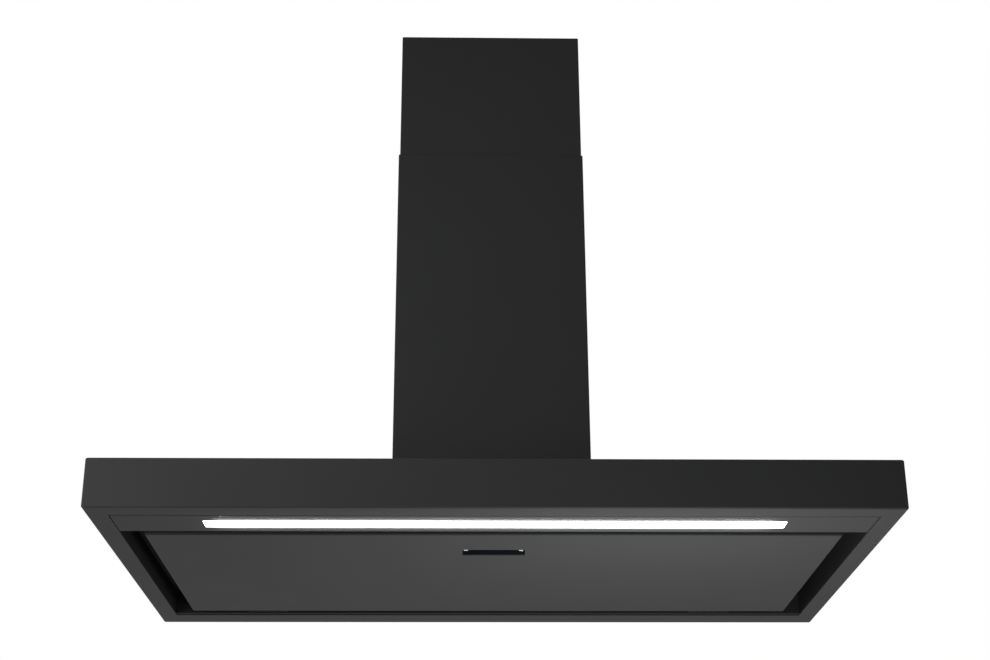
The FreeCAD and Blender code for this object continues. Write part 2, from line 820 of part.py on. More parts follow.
def make_filter(side, low, high):
    """One cassette: the channel frame, the pleated mesh in it and the recessed handle."""
    frame = body(f"filter_{side}_frame")
    outer = sketch_on(frame, "XY", filter_low)
    rectangle(outer, (low, high), (filter_front, filter_back))
    rectangle(outer, (low + filter_lip, high - filter_lip),
              (filter_front + filter_lip, filter_back - filter_lip))
    pad(frame, outer, filter_thickness)
    inside = ((low + filter_skin, high - filter_skin),
              (filter_front + filter_skin, filter_back - filter_skin))
    pocket_rectangles(frame, "XY", filter_low + filter_skin, filter_thickness - 2 * filter_skin, [inside])
    middle = filter_mid((low, high))
    handle_x = (middle - handle_width / 2, middle + handle_width / 2)
    handle_front = filter_front + filter_skin + 0.1
    handle_y = (handle_front, handle_front + handle_depth)
    pocket_rectangles(frame, "XY", filter_low - 1, 1 + filter_skin,
                      [(handle_x, (handle_front, handle_front + filter_lip + 2))])
    bolt_x = (middle - bolt_half_width, middle + bolt_half_width)
    bolt_slot = ((bolt_x[0] - 0.5, bolt_x[1] + 0.5), (bolt_low - 0.3, bolt_high + 0.3))
    pocket_rectangles(frame, "XZ", -(filter_front + 1), 2, [bolt_slot])
    tabs = sketch_on(frame, "XY", bolt_low)
    for span in tab_spans((low, high)):
        rectangle(tabs, span, (filter_back - filter_skin, filter_back + filter_tab_reach))
    pad(frame, tabs, filter_tab_sheet)

    mesh = body(f"filter_{side}_mesh")
    zigzag = sketch_on(mesh, "XZ", -(filter_back - filter_skin))
    polygon(zigzag, pleats(inside[0]))
    pad(mesh, zigzag, inside[1][1] - inside[1][0])
    room = seat_clearance
    pocket_rectangles(mesh, "XY", filter_low, filter_thickness + 1,
                      [((handle_x[0] - room, handle_x[1] + room), (handle_y[0] - 1, handle_y[1] + room))])

    handle = body(f"filter_{side}_handle")
    handle_low = filter_low + 0.2
    handle_high = filter_top - filter_skin
    case = sketch_on(handle, "XY", handle_low)
    rectangle(case, handle_x, handle_y)
    pad(handle, case, handle_high - handle_low)
    well_y = (handle_y[0] + 3, handle_y[1] - handle_skin)
    pocket_rectangles(handle, "XY", handle_low, handle_high - handle_low - handle_skin,
                      [((handle_x[0] + handle_skin, handle_x[1] - handle_skin), well_y)])
    pocket_rectangles(handle, "XZ", -(handle_y[0] + 3.5), 4, [bolt_slot])

    tail = well_y[1] - latch_travel - 1
    grip_x = (middle - latch_grip_width / 2, middle + latch_grip_width / 2)
    bolt = block(f"{side}_bolt", bolt_x, (filter_front - latch_reach, tail), (bolt_low, bolt_high))
    grip = block(f"{side}_grip", grip_x, (tail - 6, tail), (handle_low + 0.5, bolt_high))
    ribs = [block(f"{side}_rib_{i}", bolt_x, (tail - back, tail - back + 1), (bolt_low - 1.5, bolt_low))
            for i, back in enumerate((9, 12))]
    node(fused(f"{side}_filter_latch", [bolt, grip] + ribs), f"{side}_filter_latch")


def pleats(span):
    """The outline of a crimped sheet that zigzags between the frame's lips, across the X span."""
    low, high = span
    count = max(2, round(float(high - low) / float(pleat_pitch)))
    step = (high - low) / (2 * count)
    bottom = filter_low + filter_skin
    top = filter_top - filter_skin - mesh_thickness
    ridge = []
    for i in range(2 * count + 1):
        ridge.append((low + step * i, top if i % 2 else bottom))
    return ridge + [(x, z + mesh_thickness) for x, z in reversed(ridge)]


# --- perimeter panel ----------------------------------------------------------------------------

def make_panel():
    """The flat tray that hides the filters and leaves the suction gap all round."""
    tray = body("perimeter_panel")
    outer = sketch_on(tray, "XY")
    rectangle(outer, (-panel_x, panel_x), (panel_front, panel_back))
    pad(tray, outer, panel_rise)
    inner_x = panel_x - panel_sheet
    inner_y = (panel_front + panel_sheet, panel_back - panel_sheet)
    pocket_rectangles(tray, "XY", panel_sheet, panel_rise, [((-inner_x, inner_x), inner_y)])
    turned = sketch_on(tray, "XY", panel_rise - panel_sheet)
    rectangle(turned, (-panel_x, panel_x), (panel_front, panel_back))
    rectangle(turned, (panel_return - panel_x, panel_x - panel_return),
              (panel_front + panel_return, panel_back - panel_return))
    pad(tray, turned, panel_sheet)

    def outer_fold(middle, along, edge):
        on_side = close_to(abs(middle.x), panel_x)
        on_end = close_to(middle.y, panel_front) or close_to(middle.y, panel_back)
        return (on_side and on_end) or ((on_side or on_end) and close_to(middle.z, 0))

    fillet(tray, panel_edge_radius, outer_fold)
    pocket_rectangles(tray, "XY", -1, panel_sheet + 2,
                      [((-slot_width / 2, slot_width / 2), (slot_front, slot_back))])


def make_pull_cup():
    """The moulded finger pull behind the panel's slot, deeper towards the room than the slot itself."""
    cup = body("panel_pull_cup")
    room_x = slot_width / 2 + seat_clearance
    room_y = (slot_front - cup_finger_room, slot_back)
    top = panel_sheet + cup_rise
    outer = sketch_on(cup, "XY", panel_sheet)
    rectangle(outer, (-(room_x + cup_wall), room_x + cup_wall),
              (room_y[0] - cup_wall, room_y[1] + cup_wall))
    pad(cup, outer, cup_rise)
    pocket_rectangles(cup, "XY", panel_sheet, cup_rise - cup_wall, [((-room_x, room_x), room_y)])
    foot = sketch_on(cup, "XY", panel_sheet)
    rectangle(foot, (-(room_x + cup_foot), room_x + cup_foot),
              (room_y[0] - cup_foot_depth, room_y[1] + cup_foot_depth))
    rectangle(foot, (-room_x, room_x), room_y)
    pad(cup, foot, cup_foot_thickness)

    def upper_rim(middle, along, edge):
        return close_to(middle.z, top) and (abs(middle.x) > float(room_x) or
                                            middle.y > float(room_y[1]) or middle.y < float(room_y[0]))

    fillet(cup, cup_rounding, upper_rim)
    window = ((clip_reach - 2, clip_reach + 2), (panel_sheet + 5, panel_sheet + 7.4))
    windows = [window, ((-window[0][1], -window[0][0]), window[1])]
    pocket_rectangles(cup, "XZ", -(room_y[1] + cup_wall + 1), cup_wall + 2, windows)

    face_x = (clip_reach - clip_width / 2, clip_reach + clip_width / 2)
    face_y = (slot_back - clip_sheet, slot_back)
    back_y = (slot_back + cup_wall, slot_back + cup_wall + clip_sheet)
    face = block("clip_face", face_x, face_y, (panel_sheet + 5, panel_sheet + 8.2))
    stem = block("clip_stem", (clip_reach - 1.8, clip_reach + 1.8), (face_y[0], back_y[1]),
                 (panel_sheet + 5.1, panel_sheet + 7.3))
    back = block("clip_back", face_x, back_y, (panel_sheet + 2, panel_sheet + 9))
    pair("panel_pull_clips", fused("clip", [face, stem, back]))


# --- panel hinges and catches -------------------------------------------------------------------

def make_hinges():
    """Two pin hinges in the rear gap: a leaf on the panel, a bracket on the rail and the pin."""
    bore = hinge_pin_radius + hinge_pin_clearance
    half = knuckle_length / 2
    ear = hinge_ear
    middle = hinge_reach
    leaf_plate = block("leaf_plate", (middle - half, middle + half), (panel_back, panel_back + 1.2),
                       (2, panel_rise - 1))
    knuckle = rod("leaf_knuckle", knuckle_radius, (middle - half, hinge_y, hinge_z), knuckle_length, "X")
    neck = block("leaf_neck", (middle - half, middle + half), (panel_back, hinge_y),
                 (hinge_z - 1.2, hinge_z + 1.2))
    hole = rod("leaf_hole", bore, (middle - half - 1, hinge_y, hinge_z), knuckle_length + 2, "X")
    pair("hinge_leaves", cut("leaf", fused("leaf_body", [leaf_plate, knuckle, neck]), [hole]))

    parts = [block("bracket_plate", (middle - half - ear, middle + half + ear),
                   (lip_front - 1.5, lip_front), (2.5, deck_height * 0.7))]
    room = seat_clearance
    for side, low in (("near", middle - half - room - ear), ("far", middle + half + room)):
        parts.append(rod(f"{side}_knuckle", knuckle_radius, (low, hinge_y, hinge_z), ear, "X"))
        parts.append(block(f"{side}_arm", (low, low + ear), (hinge_y, lip_front),
                           (hinge_z - 1, hinge_z + knuckle_radius)))
    holes = [rod("bracket_hole", bore, (middle - 40, hinge_y, hinge_z), 80, "X")]
    pair("hinge_brackets", cut("bracket", fused("bracket_body", parts), holes))
    pin_half = half + room + ear
    pin_start = (middle - pin_half, hinge_y, hinge_z)
    pair("hinge_pins", rod("pin", hinge_pin_radius, pin_start, 2 * pin_half, "X"))


def make_catches():
    """Two magnet catches on the light rail, above the panel's front edge."""
    middle = catch_reach
    low = panel_rise + catch_clearance
    arm_top = deck_height - 2
    reach_y = panel_front + panel_return + 4
    half = catch_width / 2
    width = (middle - half, middle + half)
    plate = block("catch_plate", width, (rail_back, rail_back + catch_wall), (low, arm_top))
    arm = block("catch_arm", width, (rail_back, reach_y), (arm_top - catch_wall, arm_top))
    side_y = (panel_front + 2, reach_y)
    cage = block("catch_cage", width, side_y, (low + 3, arm_top))
    hollow = block("catch_hollow", (width[0] + catch_shell, width[1] - catch_shell),
                   (side_y[0] + 2, side_y[1] - 2), (low, arm_top - catch_wall))
    pair("catch_brackets", cut("catch", fused("catch_body", [plate, arm, cage]), [hollow]))
    inset = catch_shell + 0.2
    pair("catch_magnets", block("magnet", (width[0] + inset, width[1] - inset),
                                (side_y[0] + 2.2, side_y[1] - 2.2), (low, arm_top - catch_wall)))


# --- chimney covers -----------------------------------------------------------------------------

def make_lower_cover():
    """The fixed lower chimney sleeve, open to the wall, with turned rear edges and screwed feet."""
    cover = body("lower_cover")
    ret = cover_x - cover_return
    path = [(-ret, 0), (-cover_x, 0), (-cover_x, cover_front),
            (cover_x, cover_front), (cover_x, 0), (ret, 0)]
    plan = sketch_on(cover, "XY", canopy_height)
    polygon(plan, folded(path, cover_sheet))
    pad(cover, plan, lower_cover_height)
    round_vertical_folds(cover, cover_x, cover_front)
    feet = sketch_on(cover, "XY", canopy_height)
    for sign in (-1, 1):
        edge = cover_x - cover_sheet / 2
        inner = cover_x - cover_sheet - foot_width
        span = sorted([edge * sign, inner * sign], key=float)
        rectangle(feet, span, (cover_front * 0.78, cover_front * 0.22))
    pad(cover, feet, cover_sheet)
    pocket_circles(cover, "XY", canopy_height - 1, cover_sheet + 2,
                   [(x, y, screw_hole) for x, y in foot_screws])
    screws = [screw(f"foot_screw_{i}", (x, y, canopy_height + cover_sheet))
              for i, (x, y) in enumerate(foot_screws)]
    node(group("cover_foot_screws", screws), "cover_foot_screws")


def round_vertical_folds(cover, reach_x, front):
    """Rounds the two front corners of a cover, the inside by one sheet less."""
    def corner(x, y):
        def test(middle, along, edge):
            return abs(along.z) > 0.99 and close_to(abs(middle.x), x) and close_to(middle.y, y)
        return test
    fillet(cover, cover_fold_radius, corner(reach_x, front))
    fillet(cover, cover_fold_radius - cover_sheet, corner(reach_x - cover_sheet, front + cover_sheet))


def make_upper_cover():
    """The sliding upper sleeve inside the lower one, with vent slots in both sides near its top."""
    cover = body("upper_cover")
    path = [(-upper_x, upper_back), (-upper_x, upper_front), (upper_x, upper_front), (upper_x, upper_back)]
    plan = sketch_on(cover, "XY", upper_bottom)
    polygon(plan, folded(path, cover_sheet))
    pad(cover, plan, upper_cover_height)
    round_vertical_folds(cover, upper_x, upper_front)
    middle = upper_front / 2
    first_vent = upper_top - vent_setback
    for sign in (-1, 1):
        # The pocket runs from outside the left wall, or from inside the right one, along +X.
        start = -upper_x - 1 if sign < 0 else upper_x - cover_sheet - 1
        slot = sketch_on(cover, "YZ", start)
        rectangle(slot, (middle - vent_length / 2, middle + vent_length / 2),
                  (first_vent - vent_height, first_vent))
        vent = pocket(cover, slot, cover_sheet + 2)
        rows = cover.newObject("PartDesign::LinearPattern", f"{cover.Name}_vents")
        rows.Originals = [vent]
        rows.Direction = (slot, ["V_Axis"])
        rows.Reversed = True
        bind(rows, "Length", vent_pitch * (vent_count - 1))
        rows.Occurrences = vent_count
        cover.Tip = rows
    pocket_circles(cover, "YZ", -upper_x - 1, 2 * upper_x + 2, [(bracket_screw_y, bracket_z, screw_hole)])


bracket_screw_y = -bracket_screw_depth
bracket_z = upper_top - bracket_setback


def make_upper_bracket():
    """The folded wall bracket that the upper sleeve is screwed to from both sides."""
    bracket = body("upper_wall_bracket")
    plate_x = cover_x - cover_return - 5
    leg_x = upper_x - cover_sheet
    jog_y = -bracket_jog
    right_half = [(plate_x, 0), (plate_x, jog_y), (leg_x, jog_y), (leg_x, -bracket_leg)]
    path = [(-x, y) for x, y in right_half[::-1]] + right_half
    plan = sketch_on(bracket, "XY", bracket_z - bracket_height / 2)
    polygon(plan, folded(path, bracket_sheet, -1))
    pad(bracket, plan, bracket_height)
    pocket_circles(bracket, "XZ", -1, 4,
                   [(s * bracket_hole_reach, bracket_z, bracket_hole_radius) for s in (-1, 1)])
    pocket_circles(bracket, "YZ", -upper_x - 1, 2 * upper_x + 2, [(bracket_screw_y, bracket_z, screw_hole)])
    right = screw("side_screw", (upper_x, bracket_screw_y, bracket_z), "X")
    pair("upper_cover_screws", right)


# --- blower box and outlet ----------------------------------------------------------------------

def make_blower_box():
    """The sheet box inside the chimney foot, open below, with front and rear screw flanges."""
    box = body("blower_box")
    outer = sketch_on(box, "XY", box_bottom)
    rectangle(outer, (-box_x, box_x), (box_front, box_back))
    pad(box, outer, box_height)
    inside = ((box_sheet - box_x, box_x - box_sheet), (box_front + box_sheet, box_back - box_sheet))
    pocket_rectangles(box, "XY", box_bottom, box_height - box_sheet, [inside])
    flanges = sketch_on(box, "XY", box_bottom)
    rectangle(flanges, (-box_x, box_x), (box_front - box_flange, box_back + box_flange))
    rectangle(flanges, *inside)
    pad(box, flanges, box_sheet)
    pocket_circles(box, "XY", box_bottom - 1, box_sheet + 2, [(x, y, screw_hole) for x, y in box_screws])
    gland_hole = gland_radius * 0.75 + screw_clearance
    pocket_circles(box, "XY", box_top - box_sheet - 1, box_sheet + 2,
                   [(0, collar_y, duct_radius - collar_wall), (gland_x, gland_y, gland_hole)]
                   + [(x, y, screw_hole) for x, y in collar_screws])

    gasket = body("box_gasket")
    ring = sketch_on(gasket, "XY", canopy_height)
    rectangle(ring, (-box_x, box_x), (box_front - box_flange, box_back + box_flange))
    rectangle(ring, (gasket_width - box_x, box_x - gasket_width),
              (box_front + gasket_width, box_back - gasket_width))
    pad(gasket, ring, gasket_thickness)
    pocket_circles(gasket, "XY", canopy_height - 1, gasket_thickness + 2,
                   [(x, y, screw_hole) for x, y in box_screws])
    length = screw_length + gasket_thickness
    screws = [screw(f"box_screw_{i}", (x, y, box_bottom + box_sheet), length=length)
              for i, (x, y) in enumerate(box_screws)]
    node(group("blower_box_screws", screws), "blower_box_screws")


gland_x = -(box_x - 22)
gland_y = box_front + 22
collar_screw_reach = (duct_radius + collar_flange * 0.55) * math.sqrt(0.5)
collar_screws = [(i * collar_screw_reach, collar_y + j * collar_screw_reach)
                 for i in (-1, 1) for j in (-1, 1)]
flap_seat_z = flap_pin_z - 2.6
flap_gap = dim(0.6)


def make_collar():
    """The outlet spigot that the duct slides over, with the ledge that the flaps close on."""
    collar = body("outlet_collar")
    base = sketch_on(collar, "XY", box_top)
    circle(base, 0, collar_y, duct_radius + collar_flange)
    pad(collar, base, 3)
    tube = sketch_on(collar, "XY", box_top)
    circle(tube, 0, collar_y, duct_radius)
    pad(collar, tube, collar_height)
    bore = duct_radius - collar_wall
    pocket_circles(collar, "XY", box_top - 1, collar_height + 2, [(0, collar_y, bore)])
    ledge = sketch_on(collar, "XY", flap_seat_z - 2)
    circle(ledge, 0, collar_y, bore + 0.5)
    circle(ledge, 0, collar_y, bore - 4)
    pad(collar, ledge, 2)
    pocket_circles(collar, "XY", box_top - 1, 5, [(x, y, screw_hole) for x, y in collar_screws])
    pocket_circles(collar, "YZ", -duct_radius - 1, 2 * duct_radius + 2,
                   [(collar_y, flap_pin_z, flap_pin_radius + 0.05)])
    screws = [screw(f"collar_screw_{i}", (x, y, box_top + 3)) for i, (x, y) in enumerate(collar_screws)]
    node(group("collar_screws", screws), "collar_screws")
    pin_x = duct_radius - 0.5
    node(rod("flap_spindle", flap_pin_radius, (-pin_x, collar_y, flap_pin_z), 2 * pin_x, "X"), "flap_pin")


def make_flap(label, way, knuckles):
    """One half-round flap; way is -1 for the room side and 1 for the wall side."""
    radius = duct_radius - collar_wall - 0.8
    low = flap_seat_z + seat_clearance
    disc = rod(f"{label}_disc", radius, (0, collar_y, low), flap_sheet)
    knuckle = flap_pin_radius + 1.1
    edge = knuckle + flap_gap
    spans = sorted([collar_y + way * edge, collar_y + way * (radius + 1)], key=float)
    half = block(f"{label}_half", (-radius - 1, radius + 1), spans, (low - 1, low + 3))
    plate = doc.addObject("Part::Common", f"{label}_plate")
    plate.Base = disc
    plate.Tool = half
    parts = [plate]
    for i, (start, end) in enumerate(knuckles):
        parts.append(rod(f"{label}_knuckle_{i}", knuckle, (start, collar_y, flap_pin_z), end - start, "X"))
        strip = sorted([collar_y, collar_y + way * (edge + 2)], key=float)
        parts.append(block(f"{label}_strip_{i}", (start, end), strip, (low, low + flap_sheet)))
    hole = rod(f"{label}_hole", flap_pin_radius + 0.06, (-radius, collar_y, flap_pin_z), 2 * radius, "X")
    node(cut(label, fused(f"{label}_body", parts), [hole]), label)


def make_gland():
    """The cable gland on the box top: thread, hexagon and round cap, and the nut inside the box."""
    thread = gland_radius * 0.75
    base_z = box_top - box_sheet - 8
    parts = [rod("gland_thread", thread, (gland_x, gland_y, base_z), gland_length - 4),
             prism("gland_body", 6, gland_radius, (gland_x, gland_y, box_top), gland_length - 14),
             rod("gland_cap", gland_radius * 0.85, (gland_x, gland_y, box_top), gland_length - 9)]
    hole = rod("gland_hole", gland_bore, (gland_x, gland_y, base_z - 1), gland_length + 4)
    node(cut("cable_gland", fused("gland_outer", parts), [hole]), "cable_gland")
    nut = prism("gland_hexagon", 6, gland_radius * 1.25, (gland_x, gland_y, box_top - box_sheet - 4), 4)
    inner = rod("nut_hole", thread + 0.05, (gland_x, gland_y, base_z - 1), 12)
    node(cut("gland_nut", nut, [inner]), "gland_nut")


# --- fan: volute, wheel and motor ---------------------------------------------------------------

def arc(centre, radius, start, end):
    """An arc in the Y-Z plane about centre, from one angle to another in degrees."""
    points = []
    for angle in (start, (start + end) / 2, end):
        a = math.radians(angle)
        points.append(Vector(0, centre[0] + radius * math.cos(a), centre[1] + radius * math.sin(a)))
    return Part.Arc(*points).toShape()


def volute_wire(offset):
    """The volute's outline in the plane X = 0, grown outwards by offset.

    Three quarter arcs, each one step of growth larger and centred one step further round a square,
    run on tangent from the tongue round to the straight outlet wall.
    """
    r0 = float(volute_radius)
    grow = float(scroll_growth)
    y = float(fan_y)
    z = float(fan_z)
    left = float(outlet_left)
    right = float(outlet_right)
    top = float(scroll_top)
    tip = float(tongue_radius)
    tip_y = left - tip
    tip_z = z + math.sqrt((r0 + tip) ** 2 - (tip_y - y) ** 2)
    lean = math.degrees(math.atan2(tip_z - z, tip_y - y))
    arcs = [arc((tip_y, tip_z), tip - offset, 0, lean - 180),
            arc((y, z), r0 + offset, lean, 90),
            arc((y, z - grow), r0 + grow + offset, 90, 180),
            arc((y + grow, z - grow), r0 + 2 * grow + offset, 180, 270),
            arc((y + grow, z), r0 + 3 * grow + offset, 270, 360)]
    start = Vector(0, left - offset, top)
    end = Vector(0, right + offset, top)
    rise_in = Part.LineSegment(start, arcs[0].Vertexes[0].Point).toShape()
    rise_out = Part.LineSegment(arcs[-1].Vertexes[-1].Point, end).toShape()
    close = Part.LineSegment(end, start).toShape()
    return Part.Wire([rise_in] + arcs + [rise_out, close])


def solid_between(wire, x0, x1):
    """The wire's face moved to x0 and pushed along X to x1."""
    face = Part.Face(wire)
    face.translate(Vector(x0, 0, 0))
    return face.extrude(Vector(x1 - x0, 0, 0))


def tube_x(radius, x0, x1):
    """A solid cylinder about the fan's axis between two X values."""
    return Part.makeCylinder(radius, x1 - x0, Vector(x0, float(fan_y), float(fan_z)), Vector(1, 0, 0))


def prism_x(sides, radius, x0, x1):
    """A solid prism about the X axis between two X values, its corners on a radius."""
    corners = []
    for i in range(sides):
        a = 2 * math.pi * i / sides
        corners.append(Vector(x0, radius * math.cos(a), radius * math.sin(a)))
    return Part.Face(Part.makePolygon(corners + corners[:1])).extrude(Vector(x1 - x0, 0, 0))


def feature(label, shape):
    """A node whose shape is computed."""
    made = doc.addObject("Part::Feature", label)
    made.Shape = shape
    return node(made, label)


inlet_radius = impeller_radius - blade_depth - 1


def make_scroll():
    """The two moulded halves of the volute, split in the plane of the wheel's centre disc."""
    half = float(scroll_half_width)
    wall = float(scroll_wall)
    inlet = float(inlet_radius)
    outside = solid_between(volute_wire(wall), 0, half)
    inside = solid_between(volute_wire(0), -1, half - wall)
    right = outside.cut([inside, tube_x(inlet, 0, half + 1)])
    left = right.mirror(Vector(), Vector(1, 0, 0))
    feature("scroll_right_half", right)
    feature("scroll_left_half", left)
    depth = float(inlet_ring_depth)
    bell = Part.makeCone(inlet, inlet + depth * 0.7, depth, Vector(half, float(fan_y), float(fan_z)),
                         Vector(1, 0, 0))
    ring = tube_x(inlet + depth, half, half + depth).cut(bell)
    feature("inlet_rings", Part.makeCompound([ring, ring.mirror(Vector(), Vector(1, 0, 0))]))


def make_impeller():
    """The double-inlet wheel: forward-curved blades between two end rings, centre disc and hub."""
    outer = float(impeller_radius)
    inner = outer - float(blade_depth)
    half = float(impeller_half_width)
    thick = float(blade_thickness)
    rim = 2.5
    y = float(fan_y)
    z = float(fan_z)
    pitch = 360 / blade_count

    def point(radius, degrees):
        a = math.radians(degrees)
        return Vector(rim - half, y + radius * math.cos(a), z + radius * math.sin(a))

    def blade(turned):
        curve = ((inner, 0), (inner + float(blade_depth) * 0.55, 1.6), (outer - 1.5, 8))
        face = [point(radius, turned + lean) for radius, lean in curve]
        back = [point(radius, turned + lean + math.degrees(thick / radius)) for radius, lean in curve]
        outline = face + back[::-1]
        return Part.Face(Part.makePolygon(outline + outline[:1])).extrude(Vector(2 * (half - rim), 0, 0))

    rings = [tube_x(outer, x, x + rim).cut(tube_x(inner + 4, x - 1, x + rim + 1))
             for x in (-half, half - rim)]
    disc = tube_x(inner + 3, -1, 1)
    hub = tube_x(11, -10, 6)
    wheel = disc.fuse([hub] + rings + [blade(i * pitch) for i in range(blade_count)]).removeSplitter()
    bore = tube_x(float(shaft_radius), -11, 7)
    feature("impeller", wheel.cut(bore))
    feature("motor_shaft", tube_x(float(shaft_radius), -10, 12 + float(motor_length)))


def make_motor():
    """The external motor can, and the three-armed bracket that holds it."""
    radius = float(motor_radius)
    start = 9
    end = start + float(motor_length)
    bore = float(shaft_radius + shaft_clearance)
    can = tube_x(radius, start + 3, end - 3).fuse([tube_x(radius - 4, start, end)])
    feature("motor_casing", can.cut(tube_x(bore, start - 1, end + 1)))
    half = float(scroll_half_width)
    low = half + 3.2
    reach = float(inlet_radius) + 14
    ring = tube_x(radius + 4, low, low + 10).cut(tube_x(radius, low - 1, low + 11))
    arms = []
    feet = []
    for i in range(3):
        angle = 90 + 120 * i
        arm = Part.makeBox(3, reach - radius - 1, 12, Vector(low, radius + 1, -6))
        foot = Part.makeBox(low - half + 3, 10, 12, Vector(half, reach - 10, -6))
        hole = Part.makeCylinder(float(screw_hole), 12, Vector(half - 1, reach - 5, 0), Vector(1, 0, 0))
        piece = arm.fuse(foot).cut(hole)
        piece.rotate(Vector(), Vector(1, 0, 0), angle)
        piece.translate(Vector(0, float(fan_y), float(fan_z)))
        arms.append(piece)
        feet.append(angle)
    feature("motor_bracket", ring.fuse(arms).removeSplitter())
    along = Vector(1, 0, 0)
    head = prism_x(head_sides, float(screw_head_radius), low + 3, low + 3 + float(screw_head_height))
    shank = prism_x(shank_sides, float(screw_radius), half + 0.2, low + 3)
    screws = []
    for angle in feet:
        one = head.fuse(shank)
        one.translate(Vector(0, reach - 5, 0))
        one.rotate(Vector(), along, angle)
        one.translate(Vector(0, float(fan_y), float(fan_z)))
        screws.append(one)
    feature("motor_screws", Part.makeCompound(screws))


def square_to_round(x, y, low, radius, centre_y, high):
    """A closed solid from a rectangle at one height to a regular polygon at another.

    Each corner of the rectangle fans out to a quarter of the polygon, as on a folded sheet duct, and
    each side of the rectangle runs up to the polygon corner where two fans meet.
    """
    corners = [Vector(x[1], y[1], low), Vector(x[0], y[1], low), Vector(x[0], y[0], low),
               Vector(x[1], y[0], low)]
    count = 4 * duct_folds
    ring = []
    for i in range(count):
        a = 2 * math.pi * i / count
        ring.append(Vector(radius * math.cos(a), centre_y + radius * math.sin(a), high))
    triangles = []
    for quarter, corner in enumerate(corners):
        for i in range(quarter * duct_folds, (quarter + 1) * duct_folds):
            triangles.append([corner, ring[(i + 1) % count], ring[i]])
        meeting = ring[(quarter + 1) * duct_folds % count]
        triangles.append([corner, corners[(quarter + 1) % 4], meeting])
    faces = [Part.Face(Part.makePolygon(points + points[:1]))
             for points in triangles + [corners[::-1], ring]]
    return Part.Solid(Part.Shell(faces))


def make_transition():
    """The thin folded duct from the volute's rectangular outlet to the round collar."""
    def duct(grow):
        x = float(scroll_half_width - scroll_wall) + grow
        y = (float(outlet_left) - grow, float(outlet_right) + grow)
        radius = float(duct_radius - collar_wall) + grow
        return square_to_round((-x, x), y, float(scroll_top), radius, float(collar_y),
                               float(box_top - box_sheet))

    feature("outlet_transition", duct(float(scroll_wall)).cut(duct(0)))


# --- build, check and write ---------------------------------------------------------------------

def build():
    """Makes every piece."""
    make_canopy_shell()
    make_inner_liner()
    make_hinge_rail()
    make_light_rail()
    make_rail_screws()
    make_light()
    make_driver()
    make_control_box()
    make_control_parts()
    make_filter_seats()
    for side, (low, high) in zip(("left", "right"), filter_spans()):
        make_filter(side, low, high)
    make_panel()
    make_pull_cup()
    make_hinges()
    make_catches()
    make_lower_cover()
    make_upper_cover()
    make_upper_bracket()
    make_blower_box()
    make_collar()
    make_flap("front_flap", -1, [(-58, -32), (2, 28)])
    make_flap("rear_flap", 1, [(-30, 0), (30, 58)])
    make_gland()
    make_scroll()
    make_impeller()
    make_motor()
    make_transition()


def check():
    """Stops the build if any object failed or any piece isn't a valid solid."""
    for item in doc.Objects:
        if {"Invalid", "Error"} & set(item.State):
            raise RuntimeError(f"{item.Name} ({item.Label}) failed: {item.State}")
    for label, item in nodes.items():
        shape = item.Shape
        if shape.isNull() or not shape.isValid() or not shape.Solids:
            raise RuntimeError(f"{label} has no valid solid")


def write():
    """Writes one file per node."""
    os.makedirs("parts", exist_ok=True)
    for label, item in nodes.items():
        item.Shape.exportStep(f"parts/{label}.step")
        print(f"{label:24} {len(item.Shape.Solids):3} solids {item.Shape.Volume / 1000:10.2f} cm3")
    print(len(nodes), "nodes")


build()
doc.recompute()
check()
write()
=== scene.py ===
"""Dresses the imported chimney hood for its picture.

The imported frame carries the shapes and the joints. This script adds the folded edges, filter mesh,
screws, finishes, a plain studio and the camera. Lengths are metres in the frame's own axes: X along
the wall, Y into the wall, Z up, with the origin at the middle of the canopy's rear bottom edge.
"""

from __future__ import annotations

import json
import logging
import math
from collections.abc import Iterable
from dataclasses import dataclass, field
from enum import Enum

import bmesh
import bpy
import numpy as np
from mathutils import Matrix, Vector

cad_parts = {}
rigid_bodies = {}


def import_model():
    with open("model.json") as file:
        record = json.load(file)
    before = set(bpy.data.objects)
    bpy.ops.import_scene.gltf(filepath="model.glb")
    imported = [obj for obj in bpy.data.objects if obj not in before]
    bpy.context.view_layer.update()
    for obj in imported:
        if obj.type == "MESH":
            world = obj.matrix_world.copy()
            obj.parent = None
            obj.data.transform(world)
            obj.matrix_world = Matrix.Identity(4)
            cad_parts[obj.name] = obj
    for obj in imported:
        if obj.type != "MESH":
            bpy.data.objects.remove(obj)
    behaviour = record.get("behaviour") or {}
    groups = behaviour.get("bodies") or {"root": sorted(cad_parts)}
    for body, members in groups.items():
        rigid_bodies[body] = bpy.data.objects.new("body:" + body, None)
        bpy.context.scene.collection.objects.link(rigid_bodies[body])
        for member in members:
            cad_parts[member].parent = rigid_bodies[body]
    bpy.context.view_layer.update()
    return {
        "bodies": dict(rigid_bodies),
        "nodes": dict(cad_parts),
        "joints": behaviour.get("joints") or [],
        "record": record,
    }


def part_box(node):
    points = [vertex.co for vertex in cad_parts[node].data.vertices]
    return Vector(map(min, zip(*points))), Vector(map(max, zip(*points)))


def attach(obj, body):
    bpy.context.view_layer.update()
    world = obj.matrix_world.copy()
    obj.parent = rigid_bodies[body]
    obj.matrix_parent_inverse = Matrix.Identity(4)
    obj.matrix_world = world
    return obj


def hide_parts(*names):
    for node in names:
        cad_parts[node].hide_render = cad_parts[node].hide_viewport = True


log = logging.getLogger("hood")

MM = 0.001
HOOD = "hood"


# --- surfaces -----------------------------------------------------------------------------------


